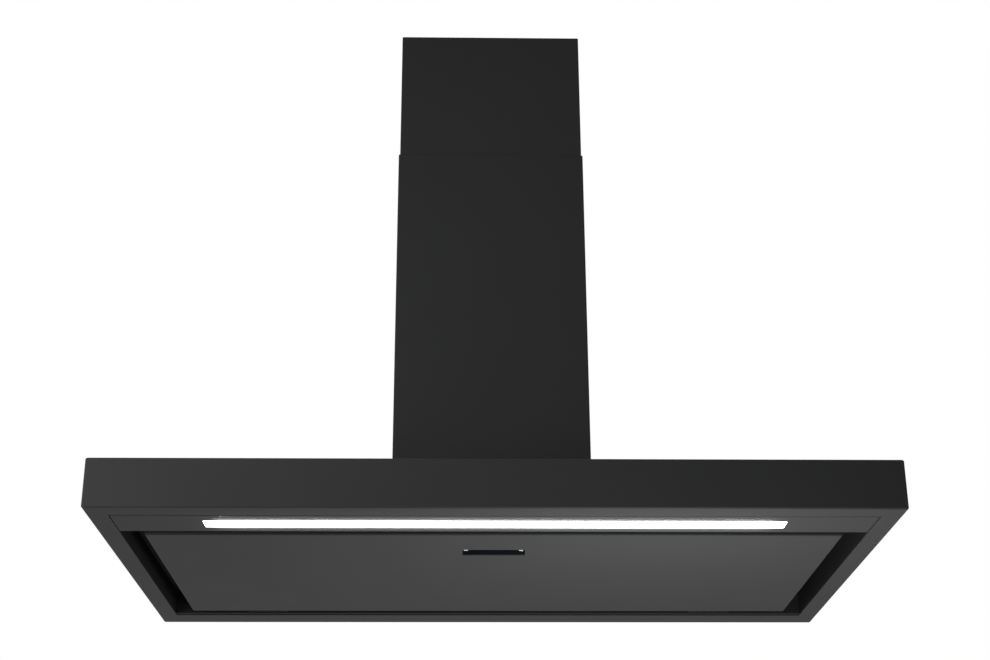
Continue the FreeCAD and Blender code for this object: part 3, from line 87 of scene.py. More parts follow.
@dataclass
class Surface:
    """A mesh in the making: corner points and the faces that join them."""

    points: np.ndarray
    faces: list[tuple[int, ...]]

    def with_mirror(self) -> Surface:
        """The surface and its mirror image as one."""
        return joined([self, self.mirrored()])

    def mirrored(self) -> Surface:
        """The surface mirrored across the middle plane X = 0, its faces turned to stay outward."""
        return Surface(self.points * (-1, 1, 1), [face[::-1] for face in self.faces])

    def moved(self, offset: tuple[float, float, float]) -> Surface:
        """The surface moved by an offset."""
        return Surface(self.points + np.array(offset), self.faces)

    def turned(self, matrix: Matrix) -> Surface:
        """The surface turned about the origin by a 3 by 3 matrix."""
        return Surface(self.points @ np.array(matrix).T, self.faces)


def joined(parts: Iterable[Surface]) -> Surface:
    """Several surfaces side by side as one: each one's point numbers move up by the points before it.

    Args:
        parts: The surfaces, in order.

    Returns:
        One surface with all their points and faces.
    """
    parts = list(parts)
    shifts = np.cumsum([0] + [len(part.points) for part in parts[:-1]]).tolist()
    faces = [tuple(i + shift for i in face) for part, shift in zip(parts, shifts) for face in part.faces]
    return Surface(np.vstack([part.points for part in parts]), faces)


def grid_faces(rows: int, columns: int, close_rows: bool, close_columns: bool) -> list[tuple[int, ...]]:
    """Quads of a grid whose points are stored row by row.

    Args:
        rows: Number of rows.
        columns: Number of points in each row.
        close_rows: Whether the last row joins the first.
        close_columns: Whether each row's last point joins its first.

    Returns:
        The quads as tuples of four point numbers.
    """
    row = np.arange(rows if close_rows else rows - 1)
    column = np.arange(columns if close_columns else columns - 1)
    r, c = (a.ravel() for a in np.meshgrid(row, column, indexing="ij"))
    r2, c2 = (r + 1) % rows, (c + 1) % columns
    quads = np.stack([r * columns + c, r * columns + c2, r2 * columns + c2, r2 * columns + c], axis=1)
    return [tuple(quad) for quad in quads.tolist()]


def loft(rings: list[np.ndarray], ring_of_rings: bool = False) -> Surface:
    """A skin over rings of equally many points: each point joins its like on the next ring.

    Args:
        rings: Rings in order, each an array of shape (points, 3).
        ring_of_rings: Whether the last ring joins the first. Otherwise both ends get a flat cap.

    Returns:
        The closed surface.
    """
    count = len(rings[0])
    faces = grid_faces(len(rings), count, ring_of_rings, True)
    if not ring_of_rings:
        faces.append(tuple(range(count))[::-1])
        faces.append(tuple(range(count * (len(rings) - 1), count * len(rings))))
    return Surface(np.vstack(rings), faces)


def rectangle_ring(
    x: tuple[float, float], y: tuple[float, float], z: float, front: float, back: float, steps: int = 6
) -> np.ndarray:
    """A level rectangle with round corners, counterclockwise seen from above.

    Each corner is a quarter circle: its centre lies one radius in from both sides, and the points run
    at even angles.

    Args:
        x: Low and high X.
        y: Low and high Y.
        z: Height.
        front: Radius of the two corners at low Y.
        back: Radius of the two corners at high Y.
        steps: Chords in each corner.

    Returns:
        An array of 4 * (steps + 1) points.
    """
    turn = np.linspace(0, math.pi / 2, steps + 1)
    corners = []
    for i, (sx, sy, radius) in enumerate(((1, 1, back), (-1, 1, back), (-1, -1, front), (1, -1, front))):
        angle = turn + i * math.pi / 2
        cx = (x[1] - radius) if sx > 0 else (x[0] + radius)
        cy = (y[1] - radius) if sy > 0 else (y[0] + radius)
        arc = [cx + radius * np.cos(angle), cy + radius * np.sin(angle), np.full_like(angle, z)]
        corners.append(np.stack(arc, axis=1))
    return np.vstack(corners)


def grown(span: tuple[float, float], by: float) -> tuple[float, float]:
    """The span made longer at both ends."""
    return span[0] - by, span[1] + by


def fold_outline(corners: list[tuple[float, float]], sheet: float, inner: float,
                 steps: int = 5) -> np.ndarray:
    """The outline of a folded sheet in its own plane.

    The corners give the sheet's outer or inner face: the sheet lies to the left of the path. Each
    corner is an arc about a point on the inside of the bend, with the inner radius on one face and
    one sheet more on the other. The outline runs along one face and back along the other.

    Args:
        corners: Corner points of the right-hand face, in order.
        sheet: Sheet thickness.
        inner: Inner bend radius.
        steps: Chords in each bend.

    Returns:
        An array of shape (points, 2).
    """
    path = np.array(corners, float)
    runs = path[1:] - path[:-1]
    along = runs / np.linalg.norm(runs, axis=1)[:, None]
    left = np.stack([-along[:, 1], along[:, 0]], axis=1)
    near, far = [path[0]], [path[0] + left[0] * sheet]
    for i in range(1, len(path) - 1):
        a, b = along[i - 1], along[i]
        bend = math.atan2(a[0] * b[1] - a[1] * b[0], float(a @ b))
        turns_left = bend > 0
        near_radius = inner + sheet if turns_left else inner
        side = 1 if turns_left else -1
        centre = path[i] + (left[i - 1] + left[i]) * side * near_radius
        start = -left[i - 1] * side
        angle = np.linspace(0, bend, steps + 1)
        spoke = np.stack([start[0] * np.cos(angle) - start[1] * np.sin(angle),
                          start[0] * np.sin(angle) + start[1] * np.cos(angle)], axis=1)
        near.extend(centre + spoke * near_radius)
        far.extend(centre + spoke * (near_radius - side * sheet))
    near.append(path[-1])
    far.append(path[-1] + left[-1] * sheet)
    return np.array(near + far[::-1])


def extruded(outline: np.ndarray, axis: int, span: tuple[float, float]) -> Surface:
    """An outline pushed along one axis, with flat ends.

    Args:
        outline: Points in the plane of the other two axes, in X, Y, Z order, shape (points, 2).
        axis: 0, 1 or 2 for X, Y or Z.
        span: Where the ends lie on that axis.

    Returns:
        The closed surface.
    """
    return loft([np.insert(outline, axis, end, axis=1) for end in span])


def turned_profile(profile: np.ndarray, steps: int = 48) -> Surface:
    """A profile of (radius, height) points turned about Z. Both ends must lie on the axis or meet.

    Args:
        profile: Points of shape (points, 2), radius first.
        steps: Chords round the axis.

    Returns:
        The surface, with the points on the axis still apart.
    """
    angle = np.linspace(0, 2 * math.pi, steps, endpoint=False)
    radius, height = profile[:, :1], profile[:, 1:]
    x, y = radius * np.cos(angle), radius * np.sin(angle)
    z = np.broadcast_to(height, x.shape)
    points = np.stack([x, y, z], axis=2).reshape(-1, 3)
    return Surface(points, grid_faces(len(profile), steps, False, True))


def add_object(name: str, surface: Surface, sharp: float = 32.0) -> bpy.types.Object:
    """Puts a surface into the scene as a piece at the origin, faces outward, sharp past an angle.

    Args:
        name: The piece's name.
        surface: Its points and faces, in the frame's axes.
        sharp: Angle in degrees past which an edge is shaded sharp.

    Returns:
        The new object.
    """
    mesh = bpy.data.meshes.new(name)
    mesh.from_pydata(surface.points.tolist(), [], surface.faces)
    work = bmesh.new()
    work.from_mesh(mesh)
    bmesh.ops.remove_doubles(work, verts=work.verts, dist=2e-7)
    bmesh.ops.dissolve_degenerate(work, edges=work.edges, dist=1e-7)
    bmesh.ops.recalc_face_normals(work, faces=work.faces)
    work.to_mesh(mesh)
    work.free()
    piece = bpy.data.objects.new(name, mesh)
    bpy.context.scene.collection.objects.link(piece)
    shade(piece, sharp)
    return piece


def shade(piece: bpy.types.Object, sharp: float) -> None:
    """Shades a piece smooth, sharp past an angle, with normals that follow its large faces.

    Args:
        piece: The piece. Its mesh is replaced by the finished one.
        sharp: Angle in degrees past which an edge is shaded sharp.
    """
    piece.data.shade_smooth()
    piece.data.set_sharp_from_angle(angle=math.radians(sharp))
    weighted = piece.modifiers.new("flat_faces", "WEIGHTED_NORMAL")
    weighted.keep_sharp = True
    keep_modifiers(piece)


def keep_modifiers(piece: bpy.types.Object) -> None:
    """Turns a piece's modifiers into its mesh.

    Args:
        piece: The piece. Its mesh is replaced by the finished one.
    """
    shown = piece.evaluated_get(bpy.context.evaluated_depsgraph_get())
    mesh = bpy.data.meshes.new_from_object(shown)
    piece.modifiers.clear()
    piece.data = mesh


def cut_away(piece: bpy.types.Object, tools: Surface, sharp: float = 32.0) -> None:
    """Cuts closed tool shapes out of a piece, and keeps the result as its mesh.

    Args:
        piece: The piece to cut.
        tools: One or more closed shapes that don't touch each other.
        sharp: Angle in degrees past which an edge is shaded sharp.
    """
    cutter = add_object(piece.name + "_cutter", tools)
    modifier = piece.modifiers.new("openings", "BOOLEAN")
    modifier.object = cutter
    modifier.operation = "DIFFERENCE"
    modifier.solver = "EXACT"
    keep_modifiers(piece)
    bpy.data.objects.remove(cutter)
    shade(piece, sharp)


def rod_surface(radius: float, centre: tuple[float, float, float], axis: int, length: float,
                steps: int = 32) -> Surface:
    """A plain rod: a circle in the plane of the other two axes, pushed along its own.

    Args:
        radius: Radius.
        centre: Middle point.
        axis: 0, 1 or 2 for X, Y or Z.
        length: Length along the axis.
        steps: Chords round the axis.

    Returns:
        The closed rod.
    """
    angle = np.linspace(0, 2 * math.pi, steps, endpoint=False)
    others = [i for i in range(3) if i != axis]
    circle = np.stack([centre[others[0]] + radius * np.cos(angle),
                       centre[others[1]] + radius * np.sin(angle)], axis=1)
    return extruded(circle, axis, (centre[axis] - length / 2, centre[axis] + length / 2))


def islands(node: bpy.types.Object) -> list[tuple[Vector, Vector]]:
    """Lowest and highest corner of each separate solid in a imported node.

    Args:
        node: A node of the frame. Its mesh is read, not changed.

    Returns:
        One pair of corners for each solid.
    """
    work = bmesh.new()
    work.from_mesh(node.data)
    bmesh.ops.remove_doubles(work, verts=work.verts, dist=1e-6)
    left = set(work.verts)
    found = []
    while left:
        stack = [left.pop()]
        members = []
        while stack:
            corner = stack.pop()
            members.append(corner.co.copy())
            for edge in corner.link_edges:
                other = edge.other_vert(corner)
                if other in left:
                    left.remove(other)
                    stack.append(other)
        co = np.array(members)
        found.append((Vector(co.min(0)), Vector(co.max(0))))
    work.free()
    return sorted(found, key=lambda pair: tuple(round(v, 5) for v in pair[0]))


# --- finishes -----------------------------------------------------------------------------------


class Texture(Enum):
    """What the surface of a finish is like at close range, by the name of its shader group."""

    GRAIN = "fine_grain"
    SPANGLE = "zinc_spangle"
    BRUSHED = "rolling_lines"


@dataclass(frozen=True)
class Finish:
    """One finish: its colour, gloss and close-up texture. No name is one of the frame's own."""

    name: str
    colour: tuple[float, float, float]
    roughness: float
    texture: Texture = Texture.GRAIN
    metallic: float = 0.0
    specular: float = 0.5
    shift: float = 0.06
    gloss_shift: float = 0.05
    grain: float = 900.0
    relief: float = 0.00002
    edge: float = 0.0004
    emission: float = 0.0

    def material(self) -> bpy.types.Material:
        """The Blender material of this finish, built on first use."""
        made = bpy.data.materials.get(self.name)
        return made or FinishBuilder(self).build()


def new_group(name: str, inputs: dict[str, float], outputs: dict[str, str]) -> bpy.types.ShaderNodeTree:
    """An empty shader group with number inputs and typed outputs.

    Args:
        name: The group's name.
        inputs: Each input's name and resting value.
        outputs: Each output's name and socket type.

    Returns:
        The group, with its input and output nodes named "in" and "out".
    """
    group = bpy.data.node_groups.new(name, "ShaderNodeTree")
    for key, value in inputs.items():
        made = group.interface.new_socket(name=key, in_out="INPUT", socket_type="NodeSocketFloat")
        made.default_value = value
    for key, kind in outputs.items():
        group.interface.new_socket(name=key, in_out="OUTPUT", socket_type=kind)
    group.nodes.new("NodeGroupInput").name = "in"
    group.nodes.new("NodeGroupOutput").name = "out"
    return group


def noise(group: bpy.types.ShaderNodeTree, vector: bpy.types.NodeSocket, scale: float | bpy.types.NodeSocket,
          detail: float, roughness: float = 0.5) -> bpy.types.Node:
    """A noise node fed by a vector, at a fixed or linked scale.

    Args:
        group: The group that gets the node.
        vector: Where the noise is read.
        scale: Its scale, as a number or a socket.
        detail: Octaves.
        roughness: Share of each finer octave.

    Returns:
        The noise node.
    """
    node = group.nodes.new("ShaderNodeTexNoise")
    node.inputs["Detail"].default_value = detail
    node.inputs["Roughness"].default_value = roughness
    group.links.new(vector, node.inputs["Vector"])
    if isinstance(scale, bpy.types.NodeSocket):
        group.links.new(scale, node.inputs["Scale"])
    else:
        node.inputs["Scale"].default_value = scale
    return node


@dataclass
class TextureGroup:
    """The shader group of a close-up texture: a Height for bump and a Patches mask around 0.5."""

    texture: Texture
    tree: bpy.types.ShaderNodeTree | None = None

    def build(self) -> bpy.types.ShaderNodeTree:
        """Builds the group on first use.

        Returns:
            The group, with the number inputs Grain and Patch.
        """
        found = bpy.data.node_groups.get(self.texture.value)
        if found:
            return found
        self.tree = new_group(self.texture.value, {"Grain": 900.0, "Patch": 9.0},
                              {"Height": "NodeSocketFloat", "Patches": "NodeSocketFloat"})
        place = self.tree.nodes.new("ShaderNodeTexCoord").outputs["Object"]
        wiring = {Texture.GRAIN: self.grain, Texture.SPANGLE: self.spangle, Texture.BRUSHED: self.brushed}
        height, patches = wiring[self.texture](place)
        self.tree.links.new(height, self.tree.nodes["out"].inputs["Height"])
        self.tree.links.new(patches, self.tree.nodes["out"].inputs["Patches"])
        return self.tree

    def given(self, name: str) -> bpy.types.NodeSocket:
        """One of the group's inputs, seen from inside."""
        return self.tree.nodes["in"].outputs[name]

    def grain(self, place: bpy.types.NodeSocket) -> tuple[bpy.types.NodeSocket, bpy.types.NodeSocket]:
        """Fine grain of powder coat or moulded plastic: noise bumps, and slow patches of tone."""
        fine = noise(self.tree, place, self.given("Grain"), 3.0, 0.6)
        return fine.outputs["Fac"], noise(self.tree, place, self.given("Patch"), 4.0, 0.55).outputs["Fac"]

    def spangle(self, place: bpy.types.NodeSocket) -> tuple[bpy.types.NodeSocket, bpy.types.NodeSocket]:
        """Galvanised sheet: each zinc crystal is a cell with a tone of its own and a low rim.

        Args:
            place: The point on the surface.

        Returns:
            The height and the tone.
        """
        bend = noise(self.tree, place, 40.0, 2.0)
        shift = self.tree.nodes.new("ShaderNodeVectorMath")
        shift.operation = "MULTIPLY_ADD"
        shift.inputs[1].default_value = (0.02, 0.02, 0.02)
        self.tree.links.new(bend.outputs["Color"], shift.inputs[0])
        self.tree.links.new(place, shift.inputs[2])
        cells = self.tree.nodes.new("ShaderNodeTexVoronoi")
        self.tree.links.new(shift.outputs["Vector"], cells.inputs["Vector"])
        self.tree.links.new(self.given("Grain"), cells.inputs["Scale"])
        tone = self.tree.nodes.new("ShaderNodeSeparateColor")
        self.tree.links.new(cells.outputs["Color"], tone.inputs["Color"])
        return cells.outputs["Distance"], tone.outputs["Red"]

    def brushed(self, place: bpy.types.NodeSocket) -> tuple[bpy.types.NodeSocket, bpy.types.NodeSocket]:
        """Rolled or brushed metal: noise stretched along X, so that it reads as fine lines.

        Args:
            place: The point on the surface.

        Returns:
            The height and the slow patches.
        """
        stretch = self.tree.nodes.new("ShaderNodeMapping")
        stretch.inputs["Scale"].default_value = (0.03, 1.0, 1.0)
        self.tree.links.new(place, stretch.inputs["Vector"])
        lines = noise(self.tree, stretch.outputs["Vector"], self.given("Grain"), 2.0)
        return lines.outputs["Fac"], noise(self.tree, place, self.given("Patch"), 4.0).outputs["Fac"]


def soft_edge_group() -> bpy.types.ShaderNodeTree:
    """A broken edge on sheet and plastic: the normal turns round each edge within a small radius.

    Returns:
        A group with a Normal output.
    """
    group = bpy.data.node_groups.get("broken_edge")
    if group:
        return group
    group = new_group("broken_edge", {"Radius": 0.0004}, {"Normal": "NodeSocketVector"})
    edge = group.nodes.new("ShaderNodeBevel")
    edge.samples = 4
    group.links.new(group.nodes["in"].outputs["Radius"], edge.inputs["Radius"])
    group.links.new(edge.outputs["Normal"], group.nodes["out"].inputs["Normal"])
    return group


@dataclass
class FinishBuilder:
    """Builds the node tree of one finish."""

    finish: Finish

    def build(self) -> bpy.types.Material:
        """Builds the material.

        Returns:
            A material whose tone, gloss and relief vary with the finish's own texture.
        """
        finish = self.finish
        material = bpy.data.materials.new(finish.name)
        material.use_nodes = True
        tree = material.node_tree
        shader = tree.nodes["Principled BSDF"]
        shader.inputs["Metallic"].default_value = finish.metallic
        shader.inputs["Specular IOR Level"].default_value = finish.specular
        texture = tree.nodes.new("ShaderNodeGroup")
        texture.node_tree = TextureGroup(finish.texture).build()
        texture.inputs["Grain"].default_value = finish.grain
        patches = texture.outputs["Patches"]
        tree.links.new(self.tone(tree, patches), shader.inputs["Base Color"])
        tree.links.new(self.gloss(tree, patches), shader.inputs["Roughness"])
        tree.links.new(self.relief(tree, texture.outputs["Height"]), shader.inputs["Normal"])
        if finish.emission:
            shader.inputs["Emission Color"].default_value = (*finish.colour, 1.0)
            shader.inputs["Emission Strength"].default_value = finish.emission
        return material

    def tone(self, tree: bpy.types.ShaderNodeTree, patches: bpy.types.NodeSocket) -> bpy.types.NodeSocket:
        """The colour, a little darker and lighter from patch to patch.

        Args:
            tree: The material's nodes.
            patches: The texture's mask.

        Returns:
            The colour's socket.
        """
        mix = tree.nodes.new("ShaderNodeMix")
        mix.data_type = "RGBA"
        low, high = 1 - self.finish.shift, 1 + self.finish.shift
        mix.inputs["A"].default_value = (*(c * low for c in self.finish.colour), 1.0)
        mix.inputs["B"].default_value = (*(min(1.0, c * high) for c in self.finish.colour), 1.0)
        tree.links.new(patches, mix.inputs["Factor"])
        return mix.outputs["Result"]

    def gloss(self, tree: bpy.types.ShaderNodeTree, patches: bpy.types.NodeSocket) -> bpy.types.NodeSocket:
        """The roughness, a little lower and higher from patch to patch.

        Args:
            tree: The material's nodes.
            patches: The texture's mask.

        Returns:
            The roughness's socket.
        """
        spread = tree.nodes.new("ShaderNodeMapRange")
        spread.inputs["To Min"].default_value = self.finish.roughness - self.finish.gloss_shift
        spread.inputs["To Max"].default_value = self.finish.roughness + self.finish.gloss_shift
        tree.links.new(patches, spread.inputs["Value"])
        return spread.outputs["Result"]

    def relief(self, tree: bpy.types.ShaderNodeTree, height: bpy.types.NodeSocket) -> bpy.types.NodeSocket:
        """The normal: the texture's height on top of the broken edges.

        Args:
            tree: The material's nodes.
            height: The texture's height.

        Returns:
            The normal's socket.
        """
        bump = tree.nodes.new("ShaderNodeBump")
        bump.inputs["Strength"].default_value = 1.0
        bump.inputs["Distance"].default_value = self.finish.relief
        tree.links.new(height, bump.inputs["Height"])
        if self.finish.edge:
            edge = tree.nodes.new("ShaderNodeGroup")
            edge.node_tree = soft_edge_group()
            edge.inputs["Radius"].default_value = self.finish.edge
            tree.links.new(edge.outputs["Normal"], bump.inputs["Normal"])
        return bump.outputs["Normal"]


BLACK_COAT = Finish("black_powder_coat", (0.0215, 0.0218, 0.0224), 0.5, specular=0.035,
                    shift=0.05, gloss_shift=0.03, grain=700.0, relief=0.000035)
# A darker copy of the black powder coat: painted shade that darkens the gaps round the panel, not a paint of
# its own.
SHADE_DARKENED_COAT = Finish("inner_coat", (0.012, 0.0121, 0.0125), 0.58, specular=0.03,
                    shift=0.08, grain=700.0, relief=0.000035)
ZINC_PLATE = Finish("zinc_plate", (0.55, 0.56, 0.58), 0.32, Texture.BRUSHED, metallic=1.0, relief=0.00001)
BLACK_OXIDE = Finish("black_oxide", (0.02, 0.02, 0.021), 0.38, metallic=0.4, grain=1500.0)
GROUND_STEEL = Finish("ground_steel", (0.66, 0.66, 0.67), 0.18, Texture.BRUSHED, metallic=1.0)
SPRING_STEEL = Finish("bright_spring_steel", (0.72, 0.8, 0.58), 0.16, metallic=1.0, relief=0.000002)
GALVANISED = Finish("galvanised_sheet", (0.36, 0.375, 0.39), 0.42, Texture.SPANGLE, metallic=1.0,
                    shift=0.16, gloss_shift=0.08, grain=75.0, relief=0.00002)
MILL_ALUMINIUM = Finish("mill_aluminium", (0.72, 0.73, 0.75), 0.34, Texture.BRUSHED, metallic=1.0)
ANODISED = Finish("anodised_aluminium", (0.6, 0.61, 0.63), 0.42, Texture.BRUSHED, metallic=1.0)
OPAL = Finish("opal_lens", (1.0, 1.0, 1.0), 0.45, shift=0.0, relief=0.000004, emission=3.0, edge=0.0)
WHITE_MASK = Finish("white_solder_mask", (0.8, 0.8, 0.78), 0.4, grain=400.0)
PHOSPHOR = Finish("led_phosphor", (0.85, 0.68, 0.16), 0.3, emission=1.0)
WHITE_PLASTIC = Finish("white_plastic_finish", (0.74, 0.74, 0.72), 0.45)
GREY_PLASTIC = Finish("grey_plastic_finish", (0.11, 0.115, 0.12), 0.48)
GREEN_MASK = Finish("green_solder_mask", (0.01, 0.09, 0.035), 0.3, grain=300.0)
LAMINATION = Finish("steel_laminations", (0.09, 0.09, 0.1), 0.5, Texture.BRUSHED, metallic=0.8)
RELAY_BLACK = Finish("relay_plastic", (0.016, 0.016, 0.02), 0.28)
BLACK_PLASTIC = Finish("black_plastic_finish", (0.024, 0.024, 0.026), 0.46, grain=1200.0)
GLOSS_CUP = Finish("gloss_cup_finish", (0.0052, 0.0066, 0.0094), 0.24, specular=0.2, relief=0.000005)
FERRITE = Finish("ferrite", (0.05, 0.05, 0.055), 0.6, relief=0.00006)
FOAM = Finish("foam_seal", (0.035, 0.035, 0.037), 0.9, relief=0.00025, grain=1400.0)
WHEEL_PLASTIC = Finish("wheel_plastic_finish", (0.05, 0.05, 0.055), 0.4)
MOTOR_CAST = Finish("cast_motor_can", (0.3, 0.31, 0.32), 0.45, metallic=0.8, relief=0.00008, grain=600.0)

NODE_FINISHES = {
    BLACK_COAT: ["canopy_shell", "light_rail", "perimeter_panel", "lower_cover", "upper_cover"],
    # The liner, hinge rail and filter seats wear the darker copy of the coat: painted shade in the gaps
    # round the panel.
    SHADE_DARKENED_COAT: ["inner_liner", "hinge_rail", "filter_seats"],
    ZINC_PLATE: ["motor_bracket", "gland_nut", "motor_screws"],
    BLACK_OXIDE: ["hinge_leaves", "hinge_brackets", "hinge_pins"],
    GROUND_STEEL: ["motor_shaft", "flap_pin"],
    SPRING_STEEL: ["panel_pull_clips"],
    GALVANISED: ["blower_box", "upper_wall_bracket"],
    ANODISED: ["led_profile", "run_capacitor"],
    OPAL: ["led_diffuser"],
    WHITE_MASK: ["led_board", "terminal_block"],
    PHOSPHOR: ["led_chips"],
    WHITE_PLASTIC: ["led_driver"],
    GREY_PLASTIC: ["control_box", "control_lid", "left_filter_latch", "right_filter_latch",
                   "front_flap", "rear_flap"],
    GREEN_MASK: ["control_board"],
    LAMINATION: ["transformer"],
    RELAY_BLACK: ["relays"],
    MILL_ALUMINIUM: ["filter_left_frame", "filter_right_frame", "filter_left_mesh", "filter_right_mesh"],
    BLACK_PLASTIC: ["filter_left_handle", "filter_right_handle", "catch_brackets", "scroll_left_half",
                    "scroll_right_half", "inlet_rings", "outlet_transition", "outlet_collar",
                    "cable_gland"],
    GLOSS_CUP: ["panel_pull_cup"],
    FERRITE: ["catch_magnets"],
    FOAM: ["box_gasket"],
    WHEEL_PLASTIC: ["impeller"],
    MOTOR_CAST: ["motor_casing"],
}


def finish_piece(piece: bpy.types.Object, finish: Finish) -> None:
    """Gives a piece one finish all over."""
    piece.data.materials.clear()
    piece.data.materials.append(finish.material())


@dataclass
class Assembly:
    """Something with pieces to add. It keeps the frame and reports each piece."""

    frame: dict
    made: list[bpy.types.Object] = field(default_factory=list)

    def add(self, name: str, surface: Surface, finish: Finish, body: str, slot: str,
            replaced: tuple[str, ...] = ()) -> bpy.types.Object:
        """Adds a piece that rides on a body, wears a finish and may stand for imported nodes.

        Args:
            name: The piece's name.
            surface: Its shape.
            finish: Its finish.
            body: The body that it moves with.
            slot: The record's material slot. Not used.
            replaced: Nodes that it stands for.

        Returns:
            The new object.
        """
        piece = add_object(name, surface)
        finish_piece(piece, finish)
        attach(piece, body)
        if replaced:
            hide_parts(*replaced)
        self.made.append(piece)
        log.info("%s: %d points", name, len(surface.points))
        return piece


# --- canopy -------------------------------------------------------------------------------------


@dataclass
class Canopy(Assembly):
    """The folded outer box with its rim turned in below."""

    sheet: float = 1.0 * MM
    fold: float = 2.2 * MM
    side_flange: float = 24.0 * MM
    front_flange: float = 29.2 * MM
    rear_flange: float = 41.5 * MM
    gasket: float = 8.0 * MM
    box_flange: float = 10.0 * MM
    corner: float = 0.4 * MM
    rear_corner: float = 0.3 * MM
    hole_cut: float = 8.0 * MM
    chords: int = 7

    def build(self) -> None:
        """Lofts the shell through rings: rim edge, lower fold, wall, upper fold, intake, and back inside."""
        low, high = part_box("canopy_shell")
        x, y = (low.x, high.x), (low.y, high.y)
        turn = np.linspace(0, math.pi / 2, self.chords + 1)

        def wall(inset: float, height: float, radius: float, back: float) -> np.ndarray:
            """A ring of the box's wall, inset from its outside and held off the rear plane."""
            depth = (y[0] + inset, y[1] - back)
            return rectangle_ring(grown(x, -inset), depth, height, radius, self.rear_corner)

        rim_x = grown(x, -self.side_flange)
        rim_y = (y[0] + self.front_flange, y[1] - self.rear_flange)
        box_low, box_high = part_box("blower_box")
        intake_x = (box_low.x + self.gasket, box_high.x - self.gasket)
        edge = self.box_flange + self.gasket
        intake_y = (box_low.y + edge, box_high.y - edge)
        rings = [rectangle_ring(rim_x, rim_y, z, self.corner, self.corner) for z in (self.sheet, 0.0)]
        for a in turn:
            inset = self.fold * (1 - math.sin(a))
            rings.append(wall(inset, self.fold * (1 - math.cos(a)), self.fold, 0.0))
        for a in turn:
            inset = self.fold * (1 - math.cos(a))
            rings.append(wall(inset, high.z - self.fold * (1 - math.sin(a)), self.fold, 0.0))
        for z in (high.z, high.z - self.sheet):
            rings.append(rectangle_ring(intake_x, intake_y, z, self.corner, self.corner))
        inner = self.fold - self.sheet
        for a in turn[::-1]:
            inset = self.sheet + inner * (1 - math.cos(a))
            rings.append(wall(inset, high.z - self.sheet - inner * (1 - math.sin(a)), inner, self.sheet))
        for a in turn[::-1]:
            inset = self.sheet + inner * (1 - math.sin(a))
            rings.append(wall(inset, self.sheet + inner * (1 - math.cos(a)), inner, self.sheet))
        shell = self.add("canopy_skin", loft(rings, ring_of_rings=True), BLACK_COAT, HOOD, "black_coat",
                         ("canopy_shell",))
        mounts = {m["name"]: m for m in self.frame["record"]["mounts"]}
        holes = mounts["wall_holes"]
        reach = holes["dims"]["spacing_x_mm"] * MM / 2
        radius = holes["dims"]["hole_r_mm"] * MM
        height = holes["pos_m"][2]
        cut_away(shell, rod_surface(radius, (reach, high.y, height), 1, self.hole_cut).with_mirror())


@dataclass
class LightBar(Assembly):
    """The channel across the front and the opal lens in its slot."""

    sheet: float = 1.0 * MM
    bend: float = 0.6 * MM
    front_leg: float = 24.8 * MM
    return_leg: float = 14.0 * MM
    proud: float = 0.4 * MM
    lens_round: float = 0.6 * MM
    shoulder: float = 2.0 * MM
    shoulder_corner: float = 0.5 * MM
    corner: float = 1.5 * MM
    play: float = 0.2 * MM
    slot_cut: tuple[float, float] = (-2.0 * MM, 3.0 * MM)

    def build(self) -> None:
        """Folds the channel, cuts its slot and lofts the lens."""
        low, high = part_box("light_rail")
        lens_low, lens_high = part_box("led_diffuser")
        corners = [(low.y, self.front_leg), (low.y, 0.0), (high.y, 0.0), (high.y, high.z),
                   (high.y - self.return_leg, high.z)]
        channel = extruded(fold_outline(corners, self.sheet, self.bend), 0, (low.x, high.x))
        rail = self.add("light_channel", channel, BLACK_COAT, HOOD, "black_coat", ("light_rail",))
        slot_x = grown((lens_low.x, lens_high.x), self.play)
        slot_y = grown((lens_low.y, lens_high.y), self.play - self.shoulder)
        cut_away(rail, loft([rectangle_ring(slot_x, slot_y, z, self.corner, self.corner)
                             for z in self.slot_cut]))
        self.lens(slot_x, slot_y, lens_high.z)

    def lens(self, slot_x: tuple[float, float], slot_y: tuple[float, float], top: float) -> None:
        """Lofts the lens: a round-edged bar that stands a little proud, with a shoulder above the sheet.

        Args:
            slot_x: Low and high X of the slot.
            slot_y: Low and high Y of the slot.
            top: Height of the lens's upper face.
        """
        def bar(inset: float, z: float) -> np.ndarray:
            """A ring of the bar, inset from the slot's edge."""
            radius = self.corner - inset
            return rectangle_ring(grown(slot_x, -inset), grown(slot_y, -inset), z, radius, radius)

        rings = []
        for a in np.linspace(0, math.pi / 2, 6):
            inset = self.play + self.lens_round * (1 - math.sin(a))
            rings.append(bar(inset, -self.proud + self.lens_round * (1 - math.cos(a))))
        rings.append(bar(self.play, self.sheet))
        wide_x, wide_y = grown(slot_x, -self.play), grown(slot_y, self.shoulder - self.play)
        radius = self.shoulder_corner
        rings += [rectangle_ring(wide_x, wide_y, z, radius, radius) for z in (self.sheet, top)]
        self.add("opal_lens_bar", loft(rings), OPAL, HOOD, "opal", ("led_diffuser",))


